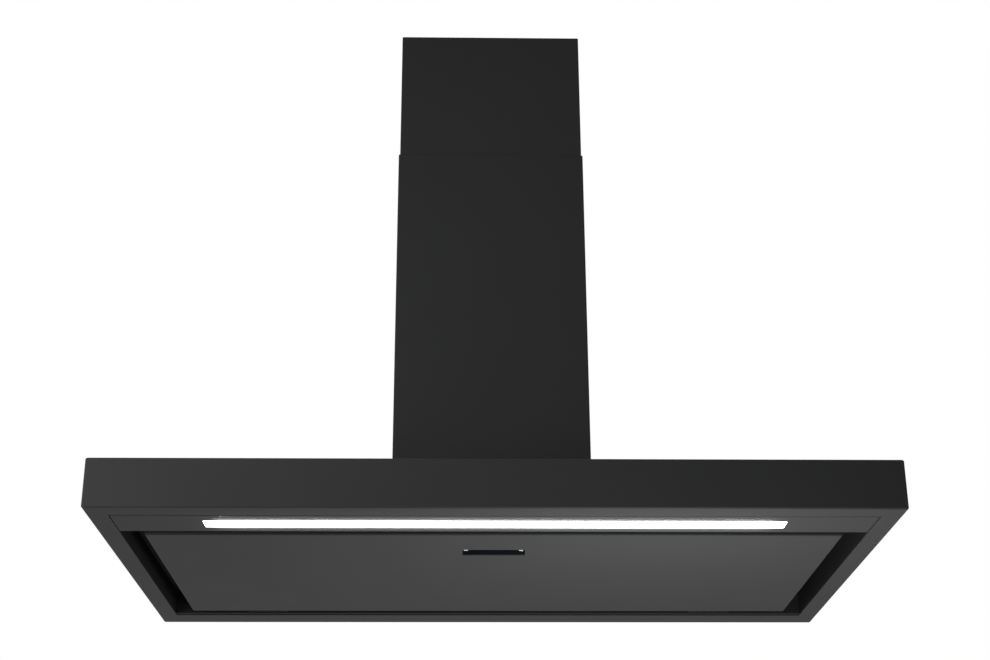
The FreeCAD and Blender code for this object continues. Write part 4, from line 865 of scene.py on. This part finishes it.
@dataclass
class Panel(Assembly):
    """The flat tray under the filters, its finger pull and the spring clips that hold it."""

    sheet: float = 1.2 * MM
    fold: float = 1.8 * MM
    top_fold: float = 0.9 * MM
    lip: float = 10.0 * MM
    lip_corner: float = 0.6 * MM
    slot_width: float = 74.0 * MM
    slot_setback: float = 63.5 * MM
    slot_depth: float = 24.6 * MM
    slot_corner: float = 0.8 * MM
    slot_break: float = 0.15 * MM
    mouth_corner: float = 0.9 * MM
    chords: int = 6
    cup_wall: float = 1.8 * MM
    cup_foot_x: float = 9.0 * MM
    cup_foot_y: float = 6.0 * MM
    cup_foot_sheet: float = 1.5 * MM
    cup_foot_corner: float = 2.5 * MM
    cup_inner_round: float = 1.6 * MM
    cup_outer_round: float = 2.4 * MM
    clip_sheet: float = 0.9 * MM
    clip_stand: float = 0.3 * MM
    clip_reach: float = 2.6 * MM
    clip_foot: float = 2.4 * MM
    clip_knee: float = 5.0 * MM

    def build(self) -> None:
        """Lofts the tray, its pull cup and the clips that hold the cup."""
        low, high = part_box("perimeter_panel")
        x, y = (low.x, high.x), (low.y, high.y)
        turn = np.linspace(0, math.pi / 2, self.chords + 1)
        half = self.slot_width / 2
        slot_y = (y[0] + self.slot_setback, y[0] + self.slot_setback + self.slot_depth)

        def slot(z: float) -> np.ndarray:
            """A ring of the finger slot."""
            return rectangle_ring((-half, half), slot_y, z, self.slot_corner, self.slot_corner)

        def wall(inset: float, z: float, radius: float) -> np.ndarray:
            """A ring of the tray's wall, inset from its outside."""
            return rectangle_ring(grown(x, -inset), grown(y, -inset), z, radius, radius)

        mouth_x, mouth_y = grown((-half, half), self.slot_break), grown(slot_y, self.slot_break)
        rings = [slot(self.slot_break), rectangle_ring(mouth_x, mouth_y, 0.0, self.mouth_corner,
                                                         self.mouth_corner)]
        for a in turn:
            rings.append(wall(self.fold * (1 - math.sin(a)), self.fold * (1 - math.cos(a)), self.fold))
        for a in turn:
            height = high.z - self.top_fold * (1 - math.sin(a))
            rings.append(wall(self.top_fold * (1 - math.cos(a)), height, self.fold))
        for z in (high.z, high.z - self.sheet):
            rings.append(wall(self.lip, z, self.lip_corner))
        rings.append(wall(self.sheet, high.z - self.sheet, self.lip_corner))
        inner = self.fold - self.sheet
        for a in turn[::-1]:
            inset = self.sheet + inner * (1 - math.sin(a))
            rings.append(wall(inset, self.sheet + inner * (1 - math.cos(a)), inner))
        rings.append(slot(self.sheet))
        self.add("panel_tray", loft(rings, ring_of_rings=True), BLACK_COAT, "panel", "black_coat",
                 ("perimeter_panel",))
        self.cup()
        self.clips()

    def clips(self) -> None:
        """Bends a spring leaf for each clip: down the cup's wall, then out and up to catch the light."""
        leaves = []
        for low, high in islands(self.frame["nodes"]["panel_pull_clips"]):
            wall = low.y + self.clip_sheet
            held, free = wall - self.clip_stand, wall - self.clip_reach
            corners = [(free, high.z - 1 * MM), (free, low.z + self.clip_knee),
                       (held, low.z + self.clip_foot), (held, high.z)]
            outline = fold_outline(corners, self.clip_sheet / 3, self.clip_stand, 3)
            leaves.append(extruded(outline, 0, (low.x, high.x)))
        self.add("spring_clips", joined(leaves), SPRING_STEEL, "panel", "bright_steel",
                 ("panel_pull_clips",))

    def cup(self) -> None:
        """Lofts the moulded cup: ceiling, inner wall, foot, outer wall and top, all round-cornered."""
        low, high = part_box("panel_pull_cup")
        room_x = (low.x + self.cup_foot_x, high.x - self.cup_foot_x)
        room_y = (low.y + self.cup_foot_y, high.y - self.cup_foot_y)
        floor, roof = low.z, high.z
        ceiling = roof - self.cup_wall
        turn = np.linspace(0, math.pi / 2, 5)

        def ring(by_x: float, by_y: float, z: float, front: float, back: float) -> np.ndarray:
            """A ring of the cup, grown from the room inside it."""
            return rectangle_ring(grown(room_x, by_x), grown(room_y, by_y), z, front, back)

        rings = []
        for a in turn:
            inset = self.cup_inner_round * (1 - math.sin(a))
            z = ceiling - self.cup_inner_round * (1 - math.cos(a))
            rings.append(ring(-inset, -inset, z, 2 * MM, 1 * MM))
        rings.append(ring(0.0, 0.0, floor, 2 * MM, 1 * MM))
        foot_top = floor + self.cup_foot_sheet
        for z in (floor, foot_top):
            corner = self.cup_foot_corner
            rings.append(ring(self.cup_foot_x, self.cup_foot_y, z, corner, corner))
        rings.append(ring(self.cup_wall, self.cup_wall, foot_top, 3 * MM, self.cup_foot_corner))
        for a in turn:
            out = self.cup_wall - self.cup_outer_round * (1 - math.cos(a))
            z = roof - self.cup_outer_round * (1 - math.sin(a))
            rings.append(ring(out, out, z, 3 * MM, self.cup_foot_corner))
        self.add("finger_cup", loft(rings), GLOSS_CUP, "panel", "gloss_cup", ("panel_pull_cup",))


# --- chimney ------------------------------------------------------------------------------------


@dataclass
class Chimney(Assembly):
    """The two sleeves, folded from sheet and open to the wall."""

    sheet: float = 1.0 * MM
    bend: float = 1.0 * MM
    rear_return: float = 12.0 * MM
    vent_rows: int = 6
    vent_pitch: float = 12.0 * MM
    vent_length: float = 120.0 * MM
    vent_height: float = 4.0 * MM
    vent_top: float = 52.0 * MM
    vent_cut: float = 4.0 * MM
    foot_setback: float = 0.22
    foot_overlap: float = 0.8
    foot_corner: float = 1.0 * MM

    def build(self) -> None:
        """Folds both sleeves and cuts the vents of the upper one."""
        self.lower()
        self.upper()

    def lower(self) -> None:
        """The lower sleeve with turned rear edges and feet on the canopy."""
        low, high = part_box("lower_cover")
        inner = high.x - self.rear_return
        corners = [(inner, 0.0), (high.x, 0.0), (high.x, low.y), (low.x, low.y), (low.x, 0.0), (-inner, 0.0)]
        sleeve = extruded(fold_outline(corners[::-1], self.sheet, self.bend), 2, (low.z, high.z))
        foot_x = (high.x - self.sheet - self.rear_return, high.x - self.sheet * self.foot_overlap)
        foot_y = grown((low.y, high.y), (low.y - high.y) * self.foot_setback)
        corner = self.foot_corner
        foot = loft([rectangle_ring(foot_x, foot_y, z, corner, corner) for z in (low.z, low.z + self.sheet)])
        self.add("lower_sleeve", joined([sleeve, foot.with_mirror()]), BLACK_COAT, HOOD, "black_coat",
                 ("lower_cover",))

    def upper(self) -> None:
        """The upper sleeve, with slots through both sides."""
        low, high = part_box("upper_cover")
        corners = [(low.x, high.y), (low.x, low.y), (high.x, low.y), (high.x, high.y)]
        sleeve = extruded(fold_outline(corners, self.sheet, self.bend), 2, (low.z, high.z))
        piece = self.add("upper_sleeve", sleeve, BLACK_COAT, "chimney_top", "black_coat", ("upper_cover",))
        middle = low.y / 2
        span = (middle - self.vent_length / 2, middle + self.vent_length / 2)
        tools = []
        for row in range(self.vent_rows):
            top = high.z - self.vent_top - row * self.vent_pitch
            outline = self.slot_outline(span, (top - self.vent_height, top))
            tools += [extruded(outline, 0, grown((side, side), self.vent_cut)) for side in (low.x, high.x)]
        cut_away(piece, joined(tools))

    @staticmethod
    def slot_outline(y: tuple[float, float], z: tuple[float, float]) -> np.ndarray:
        """A slot with half-round ends: two half circles joined by straight runs.

        Args:
            y: Low and high Y.
            z: Low and high Z.

        Returns:
            The outline's points, shape (points, 2).
        """
        radius = (z[1] - z[0]) / 2
        turn = np.linspace(-math.pi / 2, math.pi / 2, 9)
        across, up = radius * np.cos(turn), radius * np.sin(turn)
        right = np.stack([y[1] - radius + across, z[0] + radius + up], axis=1)
        left = np.stack([y[0] + radius - across, z[1] - radius - up], axis=1)
        return np.vstack([right, left])


# --- filters ------------------------------------------------------------------------------------


@dataclass
class Filters(Assembly):
    """The grease filters' expanded metal, in two crossed layers that follow the pleats."""

    strand: float = 1.0 * MM
    thickness: float = 0.4 * MM
    pitch_x: float = 11.0 * MM
    pitch_y: float = 5.5 * MM
    pleat_pitch: float = 16.0 * MM
    swing: float = 0.96

    def build(self) -> None:
        """Weaves the mesh of each filter."""
        for side in ("left", "right"):
            low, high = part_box(f"filter_{side}_mesh")
            handle_low, handle_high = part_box(f"filter_{side}_handle")
            hole = (handle_low.x, handle_high.x, handle_high.y)
            layers = [self.layer(low, high, hole, level) for level in (-1, 1)]
            self.add(f"filter_{side}_expanded_metal", joined(layers), MILL_ALUMINIUM, HOOD,
                     "filter_aluminium", (f"filter_{side}_mesh",))

    def layer(self, low: Vector, high: Vector, hole: tuple[float, float, float], level: int) -> Surface:
        """One layer of expanded metal.

        Strand k runs along X and swings half a pitch to and fro, so that it meets strands k - 1 and
        k + 1 in turn. Its height is the pleat's triangle wave.

        Args:
            low: Lowest corner of the mesh's room.
            high: Highest corner of the mesh's room.
            hole: Low X, high X and high Y of the handle, where the mesh is cut out.
            level: -1 for the lower layer and 1 for the upper.

        Returns:
            The layer, each strand a closed flat bar.
        """
        count_x = max(2, round((high.x - low.x) / (self.pitch_x / 2)))
        rows = round((high.y - low.y) / self.pitch_y)
        x = np.linspace(low.x, high.x, count_x + 1)
        pleats = max(2, round((high.x - low.x) / self.pleat_pitch))
        share = (x - low.x) / (high.x - low.x) * pleats
        wave = 1 - np.abs(2 * (share % 1) - 1)
        rise = high.z - low.z - 2 * self.strand
        z = low.z + self.strand + wave * rise + level * self.thickness
        pieces = []
        swing = (((np.arange(count_x + 1) + (level > 0)) % 2) - 0.5) * self.pitch_y * self.swing
        for row in range(rows):
            y = low.y + (row + 0.5) * self.pitch_y + swing * (1 if row % 2 else -1)
            y = np.clip(y, low.y + self.strand, high.y - self.strand)
            keep = ~((x > hole[0]) & (x < hole[1]) & (y < hole[2]))
            for run in np.split(np.arange(len(x)), np.where(np.diff(keep.astype(int)))[0] + 1):
                if keep[run[0]] and len(run) > 1:
                    pieces.append(self.bar(x[run], y[run], z[run]))
        return joined(pieces)

    def bar(self, x: np.ndarray, y: np.ndarray, z: np.ndarray) -> Surface:
        """A flat bar: four corners about each point, joined in turn and closed at the ends.

        Args:
            x: X of the points.
            y: Y of the points.
            z: Z of the points.

        Returns:
            The closed bar.
        """
        half, thick = self.strand / 2, self.thickness / 2
        corners = np.array([(0, -half, -thick), (0, half, -thick), (0, half, thick), (0, -half, thick)])
        return loft(list(np.stack([x, y, z], axis=1)[:, None, :] + corners[None, :, :]))


# --- fasteners ----------------------------------------------------------------------------------


class Heading(Enum):
    """Which way a screw's head looks."""

    UP = (0, 0, 1)
    RIGHT = (1, 0, 0)
    LEFT = (-1, 0, 0)


@dataclass
class Screws(Assembly):
    """Pan-head screws with a cross recess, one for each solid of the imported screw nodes."""

    recess_width: float = 0.9 * MM
    recess_depth: float = 1.0 * MM
    recess_radius: float = 2.2 * MM
    head_height: float = 2.2 * MM
    crown: float = 0.55 * MM
    point: float = 0.6 * MM
    rings: int = 14
    steps: int = 48

    def build(self) -> None:
        """Sets each group of screws where the frame has them."""
        for node, finish, slot, body in (
            ("deck_screws", ZINC_PLATE, "zinc_steel", HOOD),
            ("blower_box_screws", ZINC_PLATE, "zinc_steel", HOOD),
            ("collar_screws", ZINC_PLATE, "zinc_steel", HOOD),
            ("cover_foot_screws", BLACK_OXIDE, "black_screw", HOOD),
            ("upper_cover_screws", BLACK_OXIDE, "black_screw", "chimney_top"),
        ):
            screws = joined(self.screw(low, high) for low, high in islands(self.frame["nodes"][node]))
            self.add(node.replace("_screws", "_pan_screws"), screws, finish, body, slot, (node,))

    def screw(self, low: Vector, high: Vector) -> Surface:
        """One screw that fills a packed screw's box.

        Args:
            low: Lowest corner of the screw.
            high: Highest corner of the screw.

        Returns:
            The screw in its place.
        """
        size = high - low
        along = max(range(3), key=lambda i: abs(size[i] - sorted(size)[1]))
        heading = Heading.UP
        if along == 0:
            heading = Heading.RIGHT if low.x > 0 else Heading.LEFT
        length = size[along]
        radius = size[(along + 1) % 3] / 2
        shape = self.upright(radius, length)
        turn = Vector((0, 0, 1)).rotation_difference(Vector(heading.value)).to_matrix()
        centre = (low + high) / 2
        top = centre + Vector(heading.value) * (length / 2)
        return shape.turned(turn).moved(tuple(top))

    def upright(self, radius: float, length: float) -> Surface:
        """A screw along Z with its head's crown at the origin.

        The crown is a shallow dome: height falls with the square of the distance from the middle. The
        recess lowers it where a point lies within half a slot's width of either axis, less and less
        towards the slot's ends.

        Args:
            radius: Head radius.
            length: Length from crown to tip.

        Returns:
            The closed screw.
        """
        reach = np.linspace(0, radius * 0.94, self.rings)[:, None]
        angle = np.linspace(0, 2 * math.pi, self.steps, endpoint=False)[None, :]
        x, y = reach * np.cos(angle), reach * np.sin(angle)
        dome = -self.crown * (reach / radius) ** 2 + 0 * angle
        half = self.recess_width / 2
        slot = np.clip((half - np.minimum(np.abs(x), np.abs(y))) / (half * 0.5), 0, 1)
        ends = np.clip((self.recess_radius - np.hypot(x, y)) / (self.recess_radius * 0.35), 0, 1)
        z = dome - self.recess_depth * slot * ends
        crown = np.stack([x, y, z], axis=2)[::-1].reshape(-1, 3)
        shank = radius / 2
        profile = np.array([[0.0, -length], [shank * 0.6, -length], [shank, -length + self.point],
                            [shank, -self.head_height], [radius, -self.head_height],
                            [radius, -1.0 * MM], [radius * 0.985, -0.7 * MM]])
        lower = turned_profile(profile, self.steps).points
        points = np.vstack([lower, crown])
        return Surface(points, grid_faces(len(profile) + self.rings, self.steps, False, True))


# --- blower and outlet --------------------------------------------------------------------------


@dataclass
class Blower(Assembly):
    """What shows of the blower box from behind: a row of rivets up each edge of its sides."""

    rivet_radius: float = 2.4 * MM
    rivet_height: float = 1.1 * MM
    rivet_setback: float = 17.0 * MM
    rows: int = 5
    lowest: float = 22.0 * MM
    highest: float = 18.0 * MM

    def build(self) -> None:
        """Adds the rivets."""
        low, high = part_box("blower_box")
        heights = np.linspace(low.z + self.lowest, high.z - self.highest, self.rows).tolist()
        rivets = []
        for side, way in ((low.x, -1), (high.x, 1)):
            turn = Vector((0, 0, 1)).rotation_difference(Vector((way, 0, 0))).to_matrix()
            one = self.rivet().turned(turn)
            for y in (low.y + self.rivet_setback, high.y - self.rivet_setback):
                rivets += [one.moved((side, y, z)) for z in heights]
        self.add("box_rivets", joined(rivets), ZINC_PLATE, HOOD, "zinc_steel")

    def rivet(self) -> Surface:
        """A low dome on a flat foot: height falls with the cosine of the distance from the middle."""
        share = np.linspace(1, 0, 6)
        dome = np.stack([self.rivet_radius * share, self.rivet_height * np.cos(share * math.pi / 2)], axis=1)
        return turned_profile(np.vstack([np.zeros((1, 2)), dome]), 16)


# --- studio -------------------------------------------------------------------------------------


@dataclass(frozen=True)
class Lamp:
    """A square area lamp that the camera doesn't see: its place, target, side and power."""

    name: str
    place: tuple[float, float, float]
    target: tuple[float, float, float]
    size: float
    watts: float
    glossy: bool = True

    def build(self) -> bpy.types.Object:
        """Makes the lamp, aimed at its target.

        Returns:
            The lamp's object.
        """
        data = bpy.data.lights.new(self.name, "AREA")
        data.size = self.size
        data.energy = self.watts
        lamp = bpy.data.objects.new(self.name, data)
        bpy.context.scene.collection.objects.link(lamp)
        lamp.location = self.place
        lamp.rotation_mode = "QUATERNION"
        lamp.rotation_quaternion = (Vector(self.target) - Vector(self.place)).to_track_quat("-Z", "Y")
        lamp.visible_camera = False
        lamp.visible_glossy = self.glossy
        return lamp


LAMPS = (
    Lamp("key_left", (-0.85, -1.1, -0.05), (-0.4, -0.55, 0.03), 0.4, 8.0),
    Lamp("under_front", (0.2, -0.54, -0.37), (0.2, -0.46, 0.0), 0.26, 3.9),
    Lamp("column", (-0.3, -1.05, 0.45), (0.0, -0.27, 0.1), 0.3, 2.3, glossy=False),
    Lamp("side_right", (2.3, 0.15, 0.6), (0.1, -0.25, 0.3), 1.5, 11.0),
    Lamp("side_left", (-2.3, 0.15, 0.6), (-0.1, -0.25, 0.3), 1.5, 16.0),
    Lamp("back_fill", (-0.8, 2.6, 1.4), (0.0, 0.0, 0.35), 1.6, 14.0),
)


@dataclass
class Studio:
    """Floor, white surroundings and soft lamps."""

    floor_height: float = -3.6
    floor_reach: float = 18.0
    floor_tone: float = 0.82
    floor_lift: float = 0.62
    ambient: float = 0.37
    glow_watts: float = 7.7
    glow_drop: float = 3.0 * MM
    glow_width: float = 25.0 * MM
    glow_setback: float = 14.0 * MM

    def build(self) -> None:
        """Makes the floor, the world and the lamps."""
        self.floor()
        self.world()
        for lamp in LAMPS:
            lamp.build()
        self.glow()

    def glow(self) -> None:
        """The soft spill of the light bar on the channel and the rim round it, and on nothing else."""
        low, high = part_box("led_diffuser")
        middle = (low + high) / 2
        length = high.x - low.x - 2 * self.glow_setback
        place, target = (middle.x, middle.y, -self.glow_drop), (middle.x, middle.y, 0.0)
        lamp = Lamp("light_bar_spill", place, target, length, self.glow_watts, glossy=False).build()
        lamp.data.shape = "RECTANGLE"
        lamp.data.size_y = self.glow_width
        lamp.rotation_quaternion = (0, 1, 0, 0)
        lit = bpy.data.collections.new("lit_by_the_spill")
        for name in ("light_channel", "canopy_skin"):
            lit.objects.link(bpy.data.objects[name])
        lamp.light_linking.receiver_collection = lit

    @staticmethod
    def seen(tree: bpy.types.ShaderNodeTree) -> bpy.types.NodeSocket:
        """Tells the rays that show the white surroundings from those that carry their light.

        Args:
            tree: The nodes of the floor or the world.

        Returns:
            1 for a ray from the camera, a reflection or a refraction, and 0 for diffuse light.
        """
        path = tree.nodes.new("ShaderNodeLightPath")
        total = path.outputs["Is Camera Ray"]
        for other in ("Is Glossy Ray", "Is Transmission Ray"):
            largest = tree.nodes.new("ShaderNodeMath")
            largest.operation = "MAXIMUM"
            tree.links.new(total, largest.inputs[0])
            tree.links.new(path.outputs[other], largest.inputs[1])
            total = largest.outputs[0]
        return total

    def floor(self) -> None:
        """A pale floor that is white where it is lit and keeps the soft shadow."""
        corners = np.array([(-1, -1), (1, -1), (1, 1), (-1, 1)]) * self.floor_reach
        mesh = bpy.data.meshes.new("floor")
        mesh.from_pydata(np.insert(corners, 2, self.floor_height, axis=1).tolist(), [], [(0, 1, 2, 3)])
        floor = bpy.data.objects.new("floor", mesh)
        bpy.context.scene.collection.objects.link(floor)
        material = bpy.data.materials.new("pale_floor")
        material.use_nodes = True
        tree = material.node_tree
        shader = tree.nodes["Principled BSDF"]
        shader.inputs["Base Color"].default_value = (*(self.floor_tone,) * 3, 1)
        shader.inputs["Roughness"].default_value = 0.9
        shader.inputs["Emission Color"].default_value = (1, 1, 1, 1)
        lift = tree.nodes.new("ShaderNodeMath")
        lift.operation = "MULTIPLY"
        lift.inputs[1].default_value = self.floor_lift
        tree.links.new(self.seen(tree), lift.inputs[0])
        tree.links.new(lift.outputs[0], shader.inputs["Emission Strength"])
        mesh.materials.append(material)

    def world(self) -> None:
        """White to the camera and in reflections, and a softer level as light."""
        world = bpy.data.worlds.new("studio")
        bpy.context.scene.world = world
        world.use_nodes = True
        tree = world.node_tree
        background = tree.nodes["Background"]
        background.inputs["Color"].default_value = (1, 1, 1, 1)
        level = tree.nodes.new("ShaderNodeMapRange")
        level.inputs["To Min"].default_value = self.ambient
        level.inputs["To Max"].default_value = 1.0
        tree.links.new(self.seen(tree), level.inputs["Value"])
        tree.links.new(level.outputs["Result"], background.inputs["Strength"])


@dataclass
class Photographer:
    """The camera at the photograph's place and angle."""

    place: tuple[float, float, float] = (-0.0395, -2.27123, -0.51582)
    pitch: float = 0.39888
    yaw: float = -0.02212
    roll: float = -0.00421
    lens: float = 59.889
    sensor: float = 36.0

    def build(self) -> None:
        """Sets the camera: it looks along +Y, turned by yaw, lifted by pitch, then rolled."""
        right = np.array([math.cos(self.yaw), math.sin(self.yaw), 0])
        level = np.array([-math.sin(self.yaw), math.cos(self.yaw), 0])
        up = np.array([0, 0, 1])
        ahead = math.cos(self.pitch) * level + math.sin(self.pitch) * up
        lifted = -math.sin(self.pitch) * level + math.cos(self.pitch) * up
        side = math.cos(self.roll) * right + math.sin(self.roll) * lifted
        top = -math.sin(self.roll) * right + math.cos(self.roll) * lifted
        data = bpy.data.cameras.new("camera")
        data.lens = self.lens
        data.sensor_width = self.sensor
        data.clip_start = 0.05
        data.clip_end = 50
        camera = bpy.data.objects.new("camera", data)
        bpy.context.scene.collection.objects.link(camera)
        columns = [side, top, -ahead, np.array(self.place)]
        camera.matrix_world = Matrix([[*(float(c[i]) for c in columns)] for i in range(3)] + [[0, 0, 0, 1]])
        bpy.context.scene.camera = camera


def main() -> None:
    """Loads the frame, dresses it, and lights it."""
    logging.basicConfig(level=logging.INFO, format="%(name)s: %(message)s")
    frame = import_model()
    Photographer().build()
    bpy.context.scene.view_settings.view_transform = "Standard"
    for finish, names in NODE_FINISHES.items():
        for name in names:
            finish_piece(frame["nodes"][name], finish)
    assemblies = [Canopy(frame), LightBar(frame), Panel(frame), Chimney(frame), Filters(frame),
                  Screws(frame), Blower(frame)]
    for assembly in assemblies:
        assembly.build()
        log.info("%s: %d pieces", type(assembly).__name__, len(assembly.made))
    Studio().build()


if __name__ == "__main__":
    main()
